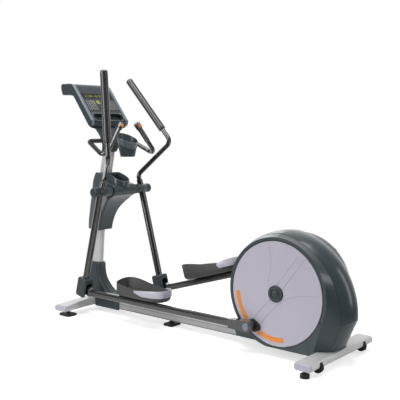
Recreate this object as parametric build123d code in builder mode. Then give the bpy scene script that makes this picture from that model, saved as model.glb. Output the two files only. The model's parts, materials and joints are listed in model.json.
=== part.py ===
from build123d import *
import os
from math import atan2, cos, hypot, radians, sin, sqrt

os.makedirs("parts", exist_ok=True)

# Elliptical cross trainer with a rear crank drive, in millimetres.
# +X runs from the console to the drive housing, the user faces -X, and +Z is up.
# The origin is on the floor, at the middle of the length and of the width.
# "ahead" is a distance from the crank axis towards the console, "behind" one away from it.

# Overall layout
mast_foot_ahead = 1680.0
housing_rear = 434.0
console_lip_ahead = mast_foot_ahead + 134.0
crank_x = (console_lip_ahead - housing_rear) / 2

# Linkage
crank_z = 376.0
crank_throw = 260.0
crank_rest_angle = 232.8
pivot_ahead = mast_foot_ahead - 286.0
pivot_z = 884.0
swing_length = 700.0
pedal_arm_length = pivot_ahead + 21.0
arm_y = 198.0

# Clearances
running_clearance = 0.05
side_gap = 1.0
pin_gap = 0.4
cover_gap = 0.5

# Base
rail_width = 100.0
rail_height = 56.0
rail_bottom = 39.0
rail_corner = 16.0
tube_wall = 3.0
front_beam_ahead = mast_foot_ahead - 17.0
front_beam_half_span = 338.0
front_beam_flat = 70.0
front_beam_end_width = 115.0
front_beam_end_height = 42.0
front_beam_mid_width = 90.0
front_beam_mid_height = 59.0
front_beam_bottom = 40.0
rear_beam_behind = 308.0
rear_beam_half_span = 342.0
rear_beam_width = 110.0
rear_beam_height = 44.0
rear_beam_bottom = 40.0
beam_corner = 18.0
end_cap_length = 13.0
pad_length = 104.0
pad_width = 78.0
pad_height = 15.0
leveller_height = 24.0
pad_inset = 60.0
pad_y = front_beam_half_span - pad_inset
stud_radius = 9.0
middle_foot_ahead = mast_foot_ahead * 0.55
middle_foot_length = 76.0
middle_foot_width = 100.0
leveller_radius = 26.0
leveller_inset = 17.0
leveller_y = rear_beam_half_span - leveller_inset
wheel_radius = 32.0
wheel_width = 26.0
wheel_inset = 94.0
wheel_y = rear_beam_half_span - wheel_inset
wheel_reach = 34.0
wheel_behind = rear_beam_behind + wheel_reach
wheel_z = 46.0
wheel_axle_radius = 5.0
wheel_well_gap = 2.5

# Mast, its covers and the pivot
mast_low_lean = 0.08
mast_high_lean = 0.22
mast_knee_z = 654.0
mast_top_z = 1206.0
mast_depth = 100.0
mast_width = 50.0
mast_bend_radius = 2400.0
gusset_thickness = 8.0
pivot_shaft_radius = 15.0
pivot_tube_radius = 28.0
pivot_tube_half = 106.0
hub_radius = 32.0
hub_outer_y = 228.0
pivot_cap_length = 42.0
bush_wall = 4.0
bush_length = 30.0
shroud_wall = 4.0
shroud_bottom = 590.0
shroud_top = 1004.0
shroud_half_width = 62.0
shroud_depth = 72.0
yoke_radius = 43.0
shroud_scoop = 96.0
shroud_scoop_drop = 132.0
shroud_rim = 70.0
shroud_crest = 58.0
shroud_shoulder_z = 944.0
shroud_round = 10.0
gusset_drop = 190.0
tray_wall = 3.0
lower_cover_top = 352.0
lower_cover_rear_ahead = mast_foot_ahead - 300.0
lower_cover_half_width = 60.0
lower_cover_round = 20.0

# Swing arms and handlebars
arm_tube_radius = 24.0
arm_tube_wall = 2.5
bar_radius = 17.0
grip_radius = 22.0
bar_neck = (8.0, 99.0, -12.0)
bar_elbow = (208.0, 288.0, 184.0)
bar_tip = (-24.0, 814.0, 128.0)
bar_bend_radius = 55.0
bar_neck_bend = 45.0
grip_end = 10.0
grip_share = 0.2
boot_length = 86.0
boot_width = 94.0
boot_below_pin = 72.0
boot_above_pin = 66.0
boot_wall = 4.0
boot_corner = 20.0
boot_slot_rise = 33.0
boot_slot_gap = 5.0
boot_slot_corner = 16.0
boot_hood_round = 14.0
boot_pin_radius = 10.0
eye_radius = 24.0
eye_width = 34.0
fork_thickness = 8.0

# Pedal arms and pedals
pedal_arm_height = 46.0
pedal_arm_width = 40.0
pedal_arm_drop = 38.0
arm_tube_start = 66.0
rod_end_length = 120.0
crank_pin_radius = 12.0
crank_eye_radius = 34.0
pin_cap_radius = 23.0
pin_cap_height = 9.0
pedal_y = 150.0
pedal_behind_boot = 525.0
pedal_length = 430.0
pedal_width = 168.0
pedal_toe_height = 98.0
pedal_heel_height = 50.0
pedal_floor = 8.0
pedal_wall = 4.0
pedal_bracket_height = 18.0
guard_length = 245.0
guard_height = 42.0
guard_thickness = 6.0

# Crank and drive
axle_radius = 15.0
disc_radius = 304.5
disc_face_y = 146.0
disc_thickness = 6.0
boss_face_y = 171.0
crank_arm_thickness = 20.0
crank_arm_width = 60.0
boss_radius = 36.0
boss_tail = 26.0
hub_cap_radius = 49.0
hub_cap_height = 9.0
accent_inner = 254.0
accent_outer = 282.0
accent_thickness = 1.0
accent_start = 11.0
accent_end = 49.0
bearing_radius = 31.0
bearing_width = 16.0
bearing_y = 62.0
drive_pulley_radius = 130.0
drive_pulley_width = 24.0
flywheel_ratio = 5.0
flywheel_behind = 252.0
flywheel_z = 318.0
flywheel_radius = 105.0
flywheel_width = 34.0
flywheel_axle_radius = 10.0
belt_thickness = 4.0
belt_width = 18.0
belt_gap = 0.3
frame_plate = 8.0
frame_ahead = 170.0
frame_behind = 245.0

# Drive housing
housing_wall = 4.0
housing_bottom = 56.0
housing_seam_y = 92.0
housing_front_angle = 264.0
housing_mid_angle = 170.0
ring_radius = 327.0
ring_foot = 228.0
seam_radius = 342.0
seam_foot = 294.0
crown_radius = 353.0
crown_foot = 308.0
ring_outline = (ring_radius, (231.2, 607.2), (302.0, 250.0), ring_foot)
seam_outline = (seam_radius, (302.0, 535.0), (388.0, 240.0), seam_foot)
crown_outline = (crown_radius, (310.0, 591.0), (housing_rear, 262.0), crown_foot)
nose_ahead = 345.0
nose_half_width = 78.0
nose_top = 132.0
nose_toe = 40.0
nose_chamfer = 30.0
disc_rim_gap = 3.5
screw_radius = 5.0
screw_head = 2.0
housing_screw_circle = 317.0
housing_screw_angles = (103.0, -23.0, -70.0)

# Console, neck, fixed handlebar and cup holder
console_half_width = 178.0
console_face_foot = (mast_foot_ahead - 181.0, 1369.0)
console_face_head = (mast_foot_ahead - 25.0, 1572.0)
console_top_z = console_face_head[1] + 53.0
console_chin = 38.0
console_lip_height = 78.0
console_lip_rake = 14.0
console_thickness = 46.0
console_bend = 60.0
console_wall = 9.0
console_panel_depth = 6.0
console_panel_half_width = 160.0
console_tray_start = 4.0
console_tray_stop = 58.0
console_tray_half_width = 130.0
console_tray_depth = 24.0
console_tray_corner = 24.0
console_corner = 36.0
window_height = 44.0
window_half_width = 140.0
neck_sections = (
    (mast_foot_ahead - 162.0, 1150.0, 116.0, 68.0),
    (mast_foot_ahead - 176.0, 1240.0, 134.0, 100.0),
    (mast_foot_ahead - 118.0, 1330.0, 96.0, 170.0),
    (mast_foot_ahead - 84.0, 1400.0, 104.0, 220.0),
)
fixed_bar_radius = 16.0
fixed_bar_z = 1228.0
fixed_bar_ahead = mast_foot_ahead - 176.0
fixed_bar_corner_y = 205.0
fixed_bar_low_setback = 391.0
fixed_bar_tip_setback = 363.0
fixed_bar_low = (mast_foot_ahead - fixed_bar_low_setback, 252.0, 1119.0)
fixed_bar_tip = (mast_foot_ahead - fixed_bar_tip_setback, 75.0, 1348.0)
fixed_bar_bend = 40.0
sensor_thickness = 2.0
sensor_length = 110.0
end_cap_radius = 23.0
end_cap_reach = 42.0
end_cap_round = 7.0
button_radius = 13.0
button_height = 8.0
button_travel = 2.0
cup_setback = 349.0
cup_ahead = mast_foot_ahead - cup_setback
cup_top = 1285.0
cup_bottom = 1120.0
cup_top_radius = 84.0
cup_bottom_radius = 50.0
cup_mouth_z = 1246.0
cup_mouth_slope = 0.44
cup_wall = 4.0
cup_arm_z = 1216.0
cup_arm_length = 116.0
cup_arm_height = 48.0
cup_arm_width = 40.0

SIDES = {"left": -1, "right": 1}
pivot_x = crank_x - pivot_ahead


def ahead(distance):
    """X of a point that lies this far ahead of the crank axis."""
    return crank_x - distance


def behind(distance):
    """X of a point that lies this far behind the crank axis."""
    return crank_x + distance


def mast_x(z):
    """X of the mast's centre line at a height."""
    knee_x = ahead(mast_foot_ahead) + mast_low_lean * mast_knee_z
    lean = mast_low_lean if z < mast_knee_z else mast_high_lean
    return knee_x + lean * (z - mast_knee_z)


def boot_pin_of(pin_x, pin_z):
    """Where the pedal arm from a crank pin meets the lower end of its swing arm."""
    span_x = pivot_x - pin_x
    span_z = pivot_z - pin_z
    span = hypot(span_x, span_z)
    along = (pedal_arm_length**2 - swing_length**2 + span**2) / (2 * span)
    across = sqrt(pedal_arm_length**2 - along**2)
    unit_x = span_x / span
    unit_z = span_z / span
    return pin_x + along * unit_x - across * unit_z, pin_z + along * unit_z + across * unit_x


crank_plane = {}
swing_plane = {}
pedal_plane = {}
for name, side in SIDES.items():
    turn = radians(crank_rest_angle + (180 if side > 0 else 0))
    pin_x = crank_x + crank_throw * cos(turn)
    pin_z = crank_z + crank_throw * sin(turn)
    boot_x, boot_z = boot_pin_of(pin_x, pin_z)
    swing = atan2(boot_x - pivot_x, pivot_z - boot_z)
    slope = atan2(pin_z - boot_z, pin_x - boot_x)
    crank_plane[name] = Plane((crank_x, 0, crank_z), x_dir=(cos(turn), 0, sin(turn)), z_dir=(0, side, 0))
    pivot_place = (pivot_x, side * arm_y, pivot_z)
    boot_place = (boot_x, side * arm_y, boot_z)
    swing_plane[name] = Plane(pivot_place, x_dir=(cos(swing), 0, sin(swing)), z_dir=(0, -1, 0))
    pedal_plane[name] = Plane(boot_place, x_dir=(cos(slope), 0, sin(slope)), z_dir=(0, -1, 0))


def keep(builder, name):
    """Label a finished piece and write it out."""
    builder.part.label = name
    export_step(builder.part, f"parts/{name}.step")


def beam_section(y, x, z, width, height, inset):
    """One rounded cross section of a stabilizer, at a station along Y."""
    with BuildSketch(Plane.XZ.offset(-y)) as section:
        with Locations((x, z)):
            RectangleRounded(width - 2 * inset, height - 2 * inset, beam_corner - inset)
    return section.sketch


# Base
rail_top = rail_bottom + rail_height
rail_z = rail_bottom + rail_height / 2
rail_cut_width = rail_width + 2 * cover_gap
rail_cut_height = rail_height + 2 * cover_gap
front_beam_x = ahead(front_beam_ahead)
front_beam_top = front_beam_bottom + front_beam_mid_height
rear_beam_x = behind(rear_beam_behind)
rear_beam_z = rear_beam_bottom + rear_beam_height / 2
rail_front_x = front_beam_x + front_beam_mid_width / 2
rail_rear_x = rear_beam_x - rear_beam_width / 2

with BuildPart() as base_rail:
    with BuildSketch(Plane.YZ.offset(rail_front_x)):
        with Locations((0, rail_z)):
            RectangleRounded(rail_width, rail_height, rail_corner)
            RectangleRounded(
                rail_width - 2 * tube_wall,
                rail_height - 2 * tube_wall,
                rail_corner - tube_wall,
                mode=Mode.SUBTRACT,
            )
    extrude(amount=rail_rear_x - rail_front_x)
keep(base_rail, "base_rail")


def front_beam_sections(inset):
    """Cross sections of the front stabilizer from its left end to its right end."""
    end_z = front_beam_bottom + front_beam_end_height / 2
    mid_z = front_beam_bottom + front_beam_mid_height / 2
    stations = []
    for y in (-front_beam_half_span, -front_beam_flat, front_beam_flat, front_beam_half_span):
        at_end = abs(y) > front_beam_flat
        stations.append(
            beam_section(
                y,
                front_beam_x,
                end_z if at_end else mid_z,
                front_beam_end_width if at_end else front_beam_mid_width,
                front_beam_end_height if at_end else front_beam_mid_height,
                inset,
            )
        )
    return stations


with BuildPart() as front_stabilizer:
    loft(sections=front_beam_sections(0), ruled=True)
    loft(sections=front_beam_sections(tube_wall), ruled=True, mode=Mode.SUBTRACT)
keep(front_stabilizer, "front_stabilizer")


def end_caps(x, z, half_span, width, height):
    """A pair of rounded caps that close the ends of a stabilizer."""
    with BuildPart() as caps:
        for side in SIDES.values():
            with BuildSketch(Plane.XZ.offset(-side * half_span)):
                with Locations((x, z)):
                    RectangleRounded(width, height, beam_corner)
            extrude(amount=-side * end_cap_length)
        outer = caps.faces().filter_by(Axis.Y).group_by(SortBy.AREA)[-1]
        rims = [face for face in outer if abs(face.center().Y) > half_span + end_cap_length / 2]
        fillet([edge for face in rims for edge in face.edges()], radius=end_cap_length * 0.6)
    return caps


front_end_caps = end_caps(
    front_beam_x,
    front_beam_bottom + front_beam_end_height / 2,
    front_beam_half_span,
    front_beam_end_width,
    front_beam_end_height,
)
keep(front_end_caps, "front_end_caps")
rear_end_caps = end_caps(rear_beam_x, rear_beam_z, rear_beam_half_span, rear_beam_width, rear_beam_height)
keep(rear_end_caps, "rear_end_caps")


with BuildPart() as front_foot_pads:
    for side in SIDES.values():
        with Locations((front_beam_x, side * pad_y, 0)):
            Box(pad_length, pad_width, pad_height, align=(Align.CENTER, Align.CENTER, Align.MIN))
            Cylinder(stud_radius, front_beam_bottom, align=(Align.CENTER, Align.CENTER, Align.MIN))
    uprights = front_foot_pads.edges().filter_by(Axis.Z).filter_by(GeomType.LINE)
    corners = [edge for edge in uprights if abs(edge.center().X - front_beam_x) > stud_radius * 2]
    fillet(corners, radius=stud_radius)
keep(front_foot_pads, "front_foot_pads")

with BuildPart() as middle_foot:
    with BuildSketch(Plane.XY):
        with Locations((ahead(middle_foot_ahead), 0)):
            RectangleRounded(middle_foot_length, middle_foot_width, stud_radius)
    extrude(amount=pad_height)
    with Locations((ahead(middle_foot_ahead), 0, pad_height)):
        Cylinder(2 * stud_radius, rail_bottom - pad_height, align=(Align.CENTER, Align.CENTER, Align.MIN))
keep(middle_foot, "middle_foot")

wheel_x = behind(wheel_behind)
well_half = wheel_width / 2 + wheel_well_gap
with BuildPart() as rear_stabilizer:
    with BuildSketch(Plane.XZ.offset(-rear_beam_half_span)):
        with Locations((rear_beam_x, rear_beam_z)):
            RectangleRounded(rear_beam_width, rear_beam_height, beam_corner)
            RectangleRounded(
                rear_beam_width - 2 * tube_wall,
                rear_beam_height - 2 * tube_wall,
                beam_corner - tube_wall,
                mode=Mode.SUBTRACT,
            )
    extrude(amount=2 * rear_beam_half_span)
    for side in SIDES.values():
        with BuildSketch(Plane.XZ.offset(-side * wheel_y)):
            with Locations((wheel_x, wheel_z)):
                Circle(wheel_radius + wheel_well_gap)
        extrude(amount=well_half, both=True, mode=Mode.SUBTRACT)
        for cheek in (-1, 1):
            with BuildSketch(Plane.XZ.offset(-side * wheel_y - cheek * (well_half + tube_wall / 2))):
                with Locations((rear_beam_x, rear_beam_z)):
                    RectangleRounded(rear_beam_width, rear_beam_height, beam_corner)
            extrude(amount=tube_wall / 2, both=True)
        with BuildSketch(Plane.XZ.offset(-side * wheel_y)):
            with Locations((wheel_x, wheel_z)):
                Circle(wheel_axle_radius)
        extrude(amount=well_half, both=True)
keep(rear_stabilizer, "rear_stabilizer")

with BuildPart() as rear_levelling_feet:
    for side in SIDES.values():
        with Locations((rear_beam_x, side * leveller_y, 0)):
            Cylinder(leveller_radius, leveller_height, align=(Align.CENTER, Align.CENTER, Align.MIN))
            Cylinder(stud_radius, rear_beam_bottom, align=(Align.CENTER, Align.CENTER, Align.MIN))
    rims = rear_levelling_feet.edges().filter_by(GeomType.CIRCLE)
    upper_rims = [edge for edge in rims if edge.radius == leveller_radius and edge.center().Z > 0]
    fillet(upper_rims, radius=stud_radius / 2)
keep(rear_levelling_feet, "rear_levelling_feet")

for name, side in SIDES.items():
    with BuildPart() as transport_wheel:
        with BuildSketch(Plane.XZ.offset(-side * wheel_y)):
            with Locations((wheel_x, wheel_z)):
                Circle(wheel_radius)
                Circle(wheel_axle_radius + running_clearance, mode=Mode.SUBTRACT)
        extrude(amount=wheel_width / 2, both=True)
        rims = transport_wheel.edges().filter_by(GeomType.CIRCLE)
        fillet([edge for edge in rims if edge.radius == wheel_radius], radius=wheel_width / 6)
    keep(transport_wheel, f"{name}_transport_wheel")

def mast_form(grow):
    """The mast's bowed outline, grown all round by a distance."""
    foot_z = front_beam_top - mast_depth / 2
    with BuildPart() as form:
        with BuildLine():
            path = FilletPolyline(
                (mast_x(foot_z), 0, foot_z),
                (mast_x(mast_knee_z), 0, mast_knee_z),
                (mast_x(mast_top_z), 0, mast_top_z),
                radius=mast_bend_radius,
            )
        with BuildSketch(Plane(path @ 0, x_dir=(0, 1, 0), z_dir=path % 0)):
            SlotOverall(mast_depth + 2 * grow, mast_width + 2 * grow, rotation=90)
        sweep(path=path)
        split(bisect_by=Plane.XY.offset(front_beam_top), keep=Keep.TOP)
    return form.part


# Mast with its gussets and the cross tube of the pivot
with BuildPart() as mast:
    add(mast_form(0))
    add(mast_form(-tube_wall), mode=Mode.SUBTRACT)
    for side in SIDES.values():
        gusset_y = side * (mast_width / 2 - tube_wall / 2)
        with BuildSketch(Plane.XZ.offset(-gusset_y)):
            with BuildLine():
                Polyline(
                    (mast_x(pivot_z - gusset_drop), pivot_z - gusset_drop),
                    (pivot_x, pivot_z - pivot_tube_radius * 0.8),
                    (pivot_x, pivot_z + pivot_tube_radius * 0.8),
                    (mast_x(pivot_z + pivot_tube_radius), pivot_z + pivot_tube_radius),
                    close=True,
                )
            make_face()
        extrude(amount=-side * gusset_thickness)
    with BuildSketch(Plane.XZ):
        with Locations((pivot_x, pivot_z)):
            Circle(pivot_tube_radius)
    extrude(amount=pivot_tube_half, both=True)
    with BuildSketch(Plane.XZ):
        with Locations((pivot_x, pivot_z)):
            Circle(pivot_shaft_radius)
    extrude(amount=pivot_tube_half, both=True, mode=Mode.SUBTRACT)
keep(mast, "mast")


def shroud_form(inset):
    """The mid shroud's body: a side profile within a plan that widens into the yoke of the pivot."""
    base_x = mast_x(shroud_bottom)
    crest_x = mast_x(shroud_top)
    with BuildPart() as form:
        with BuildSketch(Plane.XZ):
            with BuildLine():
                under = ThreePointArc(
                    (base_x + shroud_depth, shroud_bottom),
                    (pivot_x - shroud_scoop, pivot_z - shroud_scoop_drop),
                    (pivot_x + yoke_radius * 0.56, pivot_z - yoke_radius * 0.8),
                )
                hub_arc = ThreePointArc(
                    under @ 1,
                    (pivot_x + yoke_radius, pivot_z),
                    (pivot_x + yoke_radius * 0.28, pivot_z + yoke_radius),
                )
                rim = ThreePointArc(
                    hub_arc @ 1,
                    (pivot_x - shroud_rim, pivot_z + 2 * yoke_radius),
                    (crest_x + shroud_crest, shroud_top),
                )
                Polyline(
                    rim @ 1,
                    (crest_x - shroud_depth * 0.6, shroud_top),
                    (mast_x(shroud_shoulder_z) - shroud_depth * 0.9, shroud_shoulder_z),
                    (mast_x(mast_knee_z) - shroud_depth, mast_knee_z),
                    (base_x - shroud_depth, shroud_bottom),
                    under @ 0,
                )
            make_face()
            if inset:
                offset(amount=-inset, mode=Mode.REPLACE)
        extrude(amount=pivot_tube_half, both=True)
        with BuildSketch(Plane.XY):
            with BuildLine():
                edge = Polyline(
                    (base_x - shroud_depth * 1.1, 0),
                    (base_x - shroud_depth * 1.1, shroud_half_width * 0.6),
                    (mast_x(pivot_z) - mast_depth * 0.3, shroud_half_width),
                    (pivot_x - 2.8 * yoke_radius, shroud_half_width * 1.2),
                    (pivot_x - yoke_radius, pivot_tube_half),
                    (pivot_x + 1.4 * yoke_radius, pivot_tube_half),
                    (pivot_x + 1.4 * yoke_radius, 0),
                )
                mirror(edge, about=Plane.XZ)
            make_face()
            corners = [v for v in vertices() if v.X < pivot_x]
            fillet(corners, radius=shroud_half_width * 0.4)
            if inset:
                offset(amount=-inset, mode=Mode.REPLACE)
        extrude(amount=2 * shroud_top, mode=Mode.INTERSECT)
        upper = [edge for edge in form.edges() if edge.center().Z > shroud_bottom + 2 * inset + side_gap]
        fillet(upper, radius=shroud_round - inset)
    return form.part


def tray_block(inset):
    """The block of the storage tray, in the shroud's sloping top behind the mast."""
    front_x = mast_x(shroud_top) + mast_depth / 2 + 3 * shroud_wall + inset
    rear_x = pivot_x + hub_radius - inset
    half = shroud_half_width - 2 * shroud_wall - inset
    with BuildPart() as block:
        with BuildSketch(Plane.XY.offset(tray_floor_z - tray_wall + inset)):
            with Locations(((front_x + rear_x) / 2, 0)):
                RectangleRounded(rear_x - front_x, 2 * half, 2 * shroud_wall)
        extrude(amount=shroud_top)
    return block.part


tray_floor_z = pivot_z + pivot_tube_radius + 4 * cover_gap + tray_wall
with BuildPart() as storage_tray:
    add(tray_block(0))
    add(tray_block(tray_wall), mode=Mode.SUBTRACT)
    add(shroud_form(0), mode=Mode.INTERSECT)
keep(storage_tray, "storage_tray")

with BuildPart() as shroud:
    add(shroud_form(0))
    add(shroud_form(shroud_wall), mode=Mode.SUBTRACT)
    add(tray_block(0), mode=Mode.SUBTRACT)
    add(mast_form(cover_gap), mode=Mode.SUBTRACT)
    with BuildSketch(Plane.XZ):
        with Locations((pivot_x, pivot_z)):
            Circle(pivot_tube_radius + cover_gap)
    extrude(amount=pivot_tube_half, both=True, mode=Mode.SUBTRACT)
for name, side in SIDES.items():
    with BuildPart() as shroud_half:
        add(shroud.part)
        split(bisect_by=Plane.XZ, keep=Keep.BOTTOM if side > 0 else Keep.TOP)
    keep(shroud_half, f"shroud_{name}")


def lower_cover_form(inset):
    """The boot-shaped cover over the mast's foot and the front of the rail."""
    top_x = mast_x(lower_cover_top)
    rear_x = ahead(lower_cover_rear_ahead)
    skirt_z = rail_bottom - tube_wall
    seat_z = front_beam_top + cover_gap
    shoulder_z = rail_top + 3 * tube_wall
    with BuildPart() as form:
        with BuildSketch(Plane.XZ):
            with BuildLine():
                slope = ThreePointArc(
                    (top_x + mast_depth * 0.6, lower_cover_top),
                    (top_x + mast_depth * 1.05, (lower_cover_top + shoulder_z) * 0.4),
                    (rear_x, shoulder_z),
                )
                Polyline(
                    slope @ 1,
                    (rear_x, skirt_z),
                    (rail_front_x + cover_gap, skirt_z),
                    (rail_front_x + cover_gap, seat_z),
                    (top_x - mast_depth * 0.66, seat_z),
                    (top_x - mast_depth * 0.6, lower_cover_top),
                    slope @ 0,
                )
            make_face()
            if inset:
                offset(amount=-inset, mode=Mode.REPLACE)
        extrude(amount=lower_cover_half_width, both=True)
        with BuildSketch(Plane.YZ.offset(ahead(2 * pivot_ahead))):
            with BuildLine():
                edge = Polyline(
                    (0, 0),
                    (lower_cover_half_width - inset, 0),
                    (lower_cover_half_width - inset, shoulder_z),
                    (mast_width * 0.76 - inset, 2 * lower_cover_top / 3),
                    (mast_width * 0.72 - inset, 2 * lower_cover_top),
                    (0, 2 * lower_cover_top),
                )
                mirror(edge, about=Plane.YZ)
            make_face()
        extrude(amount=2 * pivot_ahead, mode=Mode.INTERSECT)
        upper = [edge for edge in form.edges() if edge.center().Z > shoulder_z + side_gap]
        fillet(upper, radius=lower_cover_round - inset)
    return form.part


with BuildPart() as lower_mast_cover:
    add(lower_cover_form(0))
    add(lower_cover_form(shroud_wall), mode=Mode.SUBTRACT)
    add(mast_form(cover_gap), mode=Mode.SUBTRACT)
    with BuildSketch(Plane.YZ.offset(rail_front_x)):
        with Locations((0, rail_z)):
            RectangleRounded(rail_cut_width, rail_cut_height, rail_corner + cover_gap)
        with Locations((0, rail_z - rail_height / 2)):
            Rectangle(rail_cut_width, rail_height)
    extrude(amount=pivot_ahead, mode=Mode.SUBTRACT)
keep(lower_mast_cover, "lower_mast_cover")

# Pivot of the swing arms
hub_inner_y = pivot_tube_half + side_gap
bush_radius = pivot_shaft_radius + bush_wall
shaft_half = hub_outer_y + side_gap + pivot_cap_length / 4


def y_cylinder(x, z, radius, start_y, end_y):
    """A round solid along Y between two stations."""
    with BuildPart() as bar:
        with BuildSketch(Plane.XZ.offset(-start_y)):
            with Locations((x, z)):
                Circle(radius)
        extrude(amount=start_y - end_y)
    return bar.part


with BuildPart() as pivot_shaft:
    add(y_cylinder(pivot_x, pivot_z, pivot_shaft_radius, -shaft_half, shaft_half))
keep(pivot_shaft, "pivot_shaft")

with BuildPart() as pivot_bushes:
    for side in SIDES.values():
        for start in (hub_inner_y, hub_outer_y - bush_length):
            add(y_cylinder(pivot_x, pivot_z, bush_radius, side * start, side * (start + bush_length)))
    add(pivot_shaft.part, mode=Mode.SUBTRACT)
keep(pivot_bushes, "pivot_bushes")

with BuildPart() as pivot_caps:
    for side in SIDES.values():
        start = hub_outer_y + side_gap
        add(y_cylinder(pivot_x, pivot_z, hub_radius, side * start, side * (start + pivot_cap_length)))
    rims = pivot_caps.edges().filter_by(GeomType.CIRCLE)
    outer_rims = [rim for rim in rims if abs(rim.center().Y) > hub_outer_y + pivot_cap_length / 2]
    fillet(outer_rims, radius=hub_radius / 4)
    add(pivot_shaft.part, mode=Mode.SUBTRACT)
keep(pivot_caps, "pivot_caps")

# Swing arms, boots, handlebars and grips
fork_inner = eye_width / 2 + side_gap
fork_outer = fork_inner + fork_thickness
bridge_top = swing_length - eye_radius - 3 * fork_thickness
socket_length = 2 * hub_radius
slot_height = boot_slot_rise + 2 * boot_below_pin


def bar_point(name, point):
    """A handlebar point in the machine's frame, from the arm's own rear, up and outward distances."""
    rear, rise, outward = point
    return swing_plane[name].from_local_coords((rear, rise, -SIDES[name] * outward))


def down_plane(name):
    """A plane across a swing arm at its pivot, facing down the arm."""
    plane = swing_plane[name]
    return Plane(plane.origin, x_dir=(0, 1, 0), z_dir=-plane.y_dir)


def boot_block(name, inset):
    """A boot's rounded block, set in by a wall."""
    down = down_plane(name)
    with BuildPart() as block:
        with BuildSketch(down.offset(swing_length - boot_above_pin + inset)):
            RectangleRounded(boot_width - 2 * inset, boot_length - 2 * inset, boot_corner - inset)
        extrude(amount=boot_above_pin + boot_below_pin - 2 * inset)
        ends = block.faces().sort_by(Axis(down.origin, down.z_dir))
        hood, sole = ends[0], ends[-1]
        fillet(sole.edges(), radius=boot_corner - inset - side_gap)
        fillet(hood.edges(), radius=boot_hood_round - inset)
    return block.part


for name, side in SIDES.items():
    plane = swing_plane[name]
    down = down_plane(name)
    socket = Plane(plane.origin, z_dir=bar_point(name, bar_neck) - plane.origin)
    pin_place = plane.from_local_coords((0, -swing_length, 0))
    with BuildPart() as swing_arm:
        add(y_cylinder(pivot_x, pivot_z, hub_radius, side * hub_inner_y, side * hub_outer_y))
        with BuildSketch(down):
            Circle(arm_tube_radius)
        extrude(amount=bridge_top)
        with BuildSketch(down.offset(hub_radius)):
            Circle(arm_tube_radius - arm_tube_wall)
        extrude(amount=bridge_top - hub_radius, mode=Mode.SUBTRACT)
        with BuildSketch(socket):
            Circle(bar_radius + 2 * arm_tube_wall)
        extrude(amount=socket_length)
        with BuildSketch(socket.offset(hub_radius)):
            Circle(bar_radius)
        extrude(amount=socket_length - hub_radius, mode=Mode.SUBTRACT)
        with BuildSketch(plane):
            with Locations((0, -bridge_top - fork_thickness)):
                Rectangle(2 * eye_radius, 2 * fork_thickness)
        extrude(amount=fork_outer, both=True)
        for cheek in (-1, 1):
            with BuildSketch(plane.offset(cheek * fork_inner)):
                with Locations((0, -swing_length)):
                    Circle(eye_radius)
                with Locations((0, -(bridge_top + swing_length) / 2)):
                    Rectangle(2 * eye_radius, swing_length - bridge_top)
                with Locations((0, -swing_length)):
                    Circle(boot_pin_radius, mode=Mode.SUBTRACT)
            extrude(amount=cheek * fork_thickness)
        bore = bush_radius + running_clearance
        add(y_cylinder(pivot_x, pivot_z, bore, side * hub_inner_y, side * hub_outer_y), mode=Mode.SUBTRACT)
    keep(swing_arm, f"{name}_swing_arm")

    with BuildPart() as boot_pin_piece:
        with BuildSketch(plane):
            with Locations((0, -swing_length)):
                Circle(boot_pin_radius)
        extrude(amount=fork_outer + side_gap, both=True)
    keep(boot_pin_piece, f"{name}_boot_pin")

    with BuildPart() as boot:
        add(boot_block(name, 0))
        add(boot_block(name, boot_wall), mode=Mode.SUBTRACT)
        with BuildSketch(down):
            Circle(arm_tube_radius)
        extrude(amount=swing_length, mode=Mode.SUBTRACT)
        with BuildSketch(Plane(pin_place, x_dir=(0, 1, 0), z_dir=plane.x_dir)):
            with Locations((0, boot_slot_rise - slot_height / 2)):
                RectangleRounded(pedal_arm_width + 2 * boot_slot_gap, slot_height, boot_slot_corner)
        extrude(amount=boot_length, mode=Mode.SUBTRACT)
    keep(boot, f"{name}_boot")

    with BuildPart() as handlebar:
        with BuildLine():
            bar_path = FilletPolyline(
                socket.offset(hub_radius).origin,
                bar_point(name, bar_neck),
                bar_point(name, bar_elbow),
                bar_point(name, bar_tip),
                radius=(bar_neck_bend, bar_bend_radius),
            )
        with BuildSketch(Plane(bar_path @ 0, z_dir=bar_path % 0)):
            Circle(bar_radius)
            Circle(bar_radius - arm_tube_wall, mode=Mode.SUBTRACT)
        sweep(path=bar_path)
    keep(handlebar, f"{name}_handlebar")

    elbow = bar_point(name, bar_elbow)
    tip = bar_point(name, bar_tip)
    grip_start = elbow + (tip - elbow) * grip_share
    grip_length = (tip - grip_start).length
    with BuildPart() as grip:
        with BuildSketch(Plane(grip_start, z_dir=tip - grip_start)):
            Circle(grip_radius)
        extrude(amount=grip_length + grip_end)
        end = grip.faces().filter_by(GeomType.PLANE).sort_by(Axis(grip_start, tip - grip_start))[-1]
        fillet(end.edges(), radius=grip_radius * 0.6)
        with BuildSketch(Plane(grip_start, z_dir=tip - grip_start)):
            Circle(bar_radius)
        extrude(amount=grip_length, mode=Mode.SUBTRACT)
    keep(grip, f"{name}_grip")

# Pedal arms, crank pins and pedals
arm_tube_stop = pedal_arm_length - rod_end_length
pin_inner_y = boss_face_y + pin_gap
eye_half = pedal_arm_width / 2


def arm_axis_drop(along):
    """How far the pedal arm's tube lies below the line from boot pin to crank pin."""
    return pedal_arm_drop * (1 - along / pedal_arm_length)


def pedal_outline(length, width):
    """The footplate's outline, with well rounded corners."""
    with BuildSketch() as outline:
        RectangleRounded(length, width, width * 0.3)
    return outline.sketch


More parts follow.
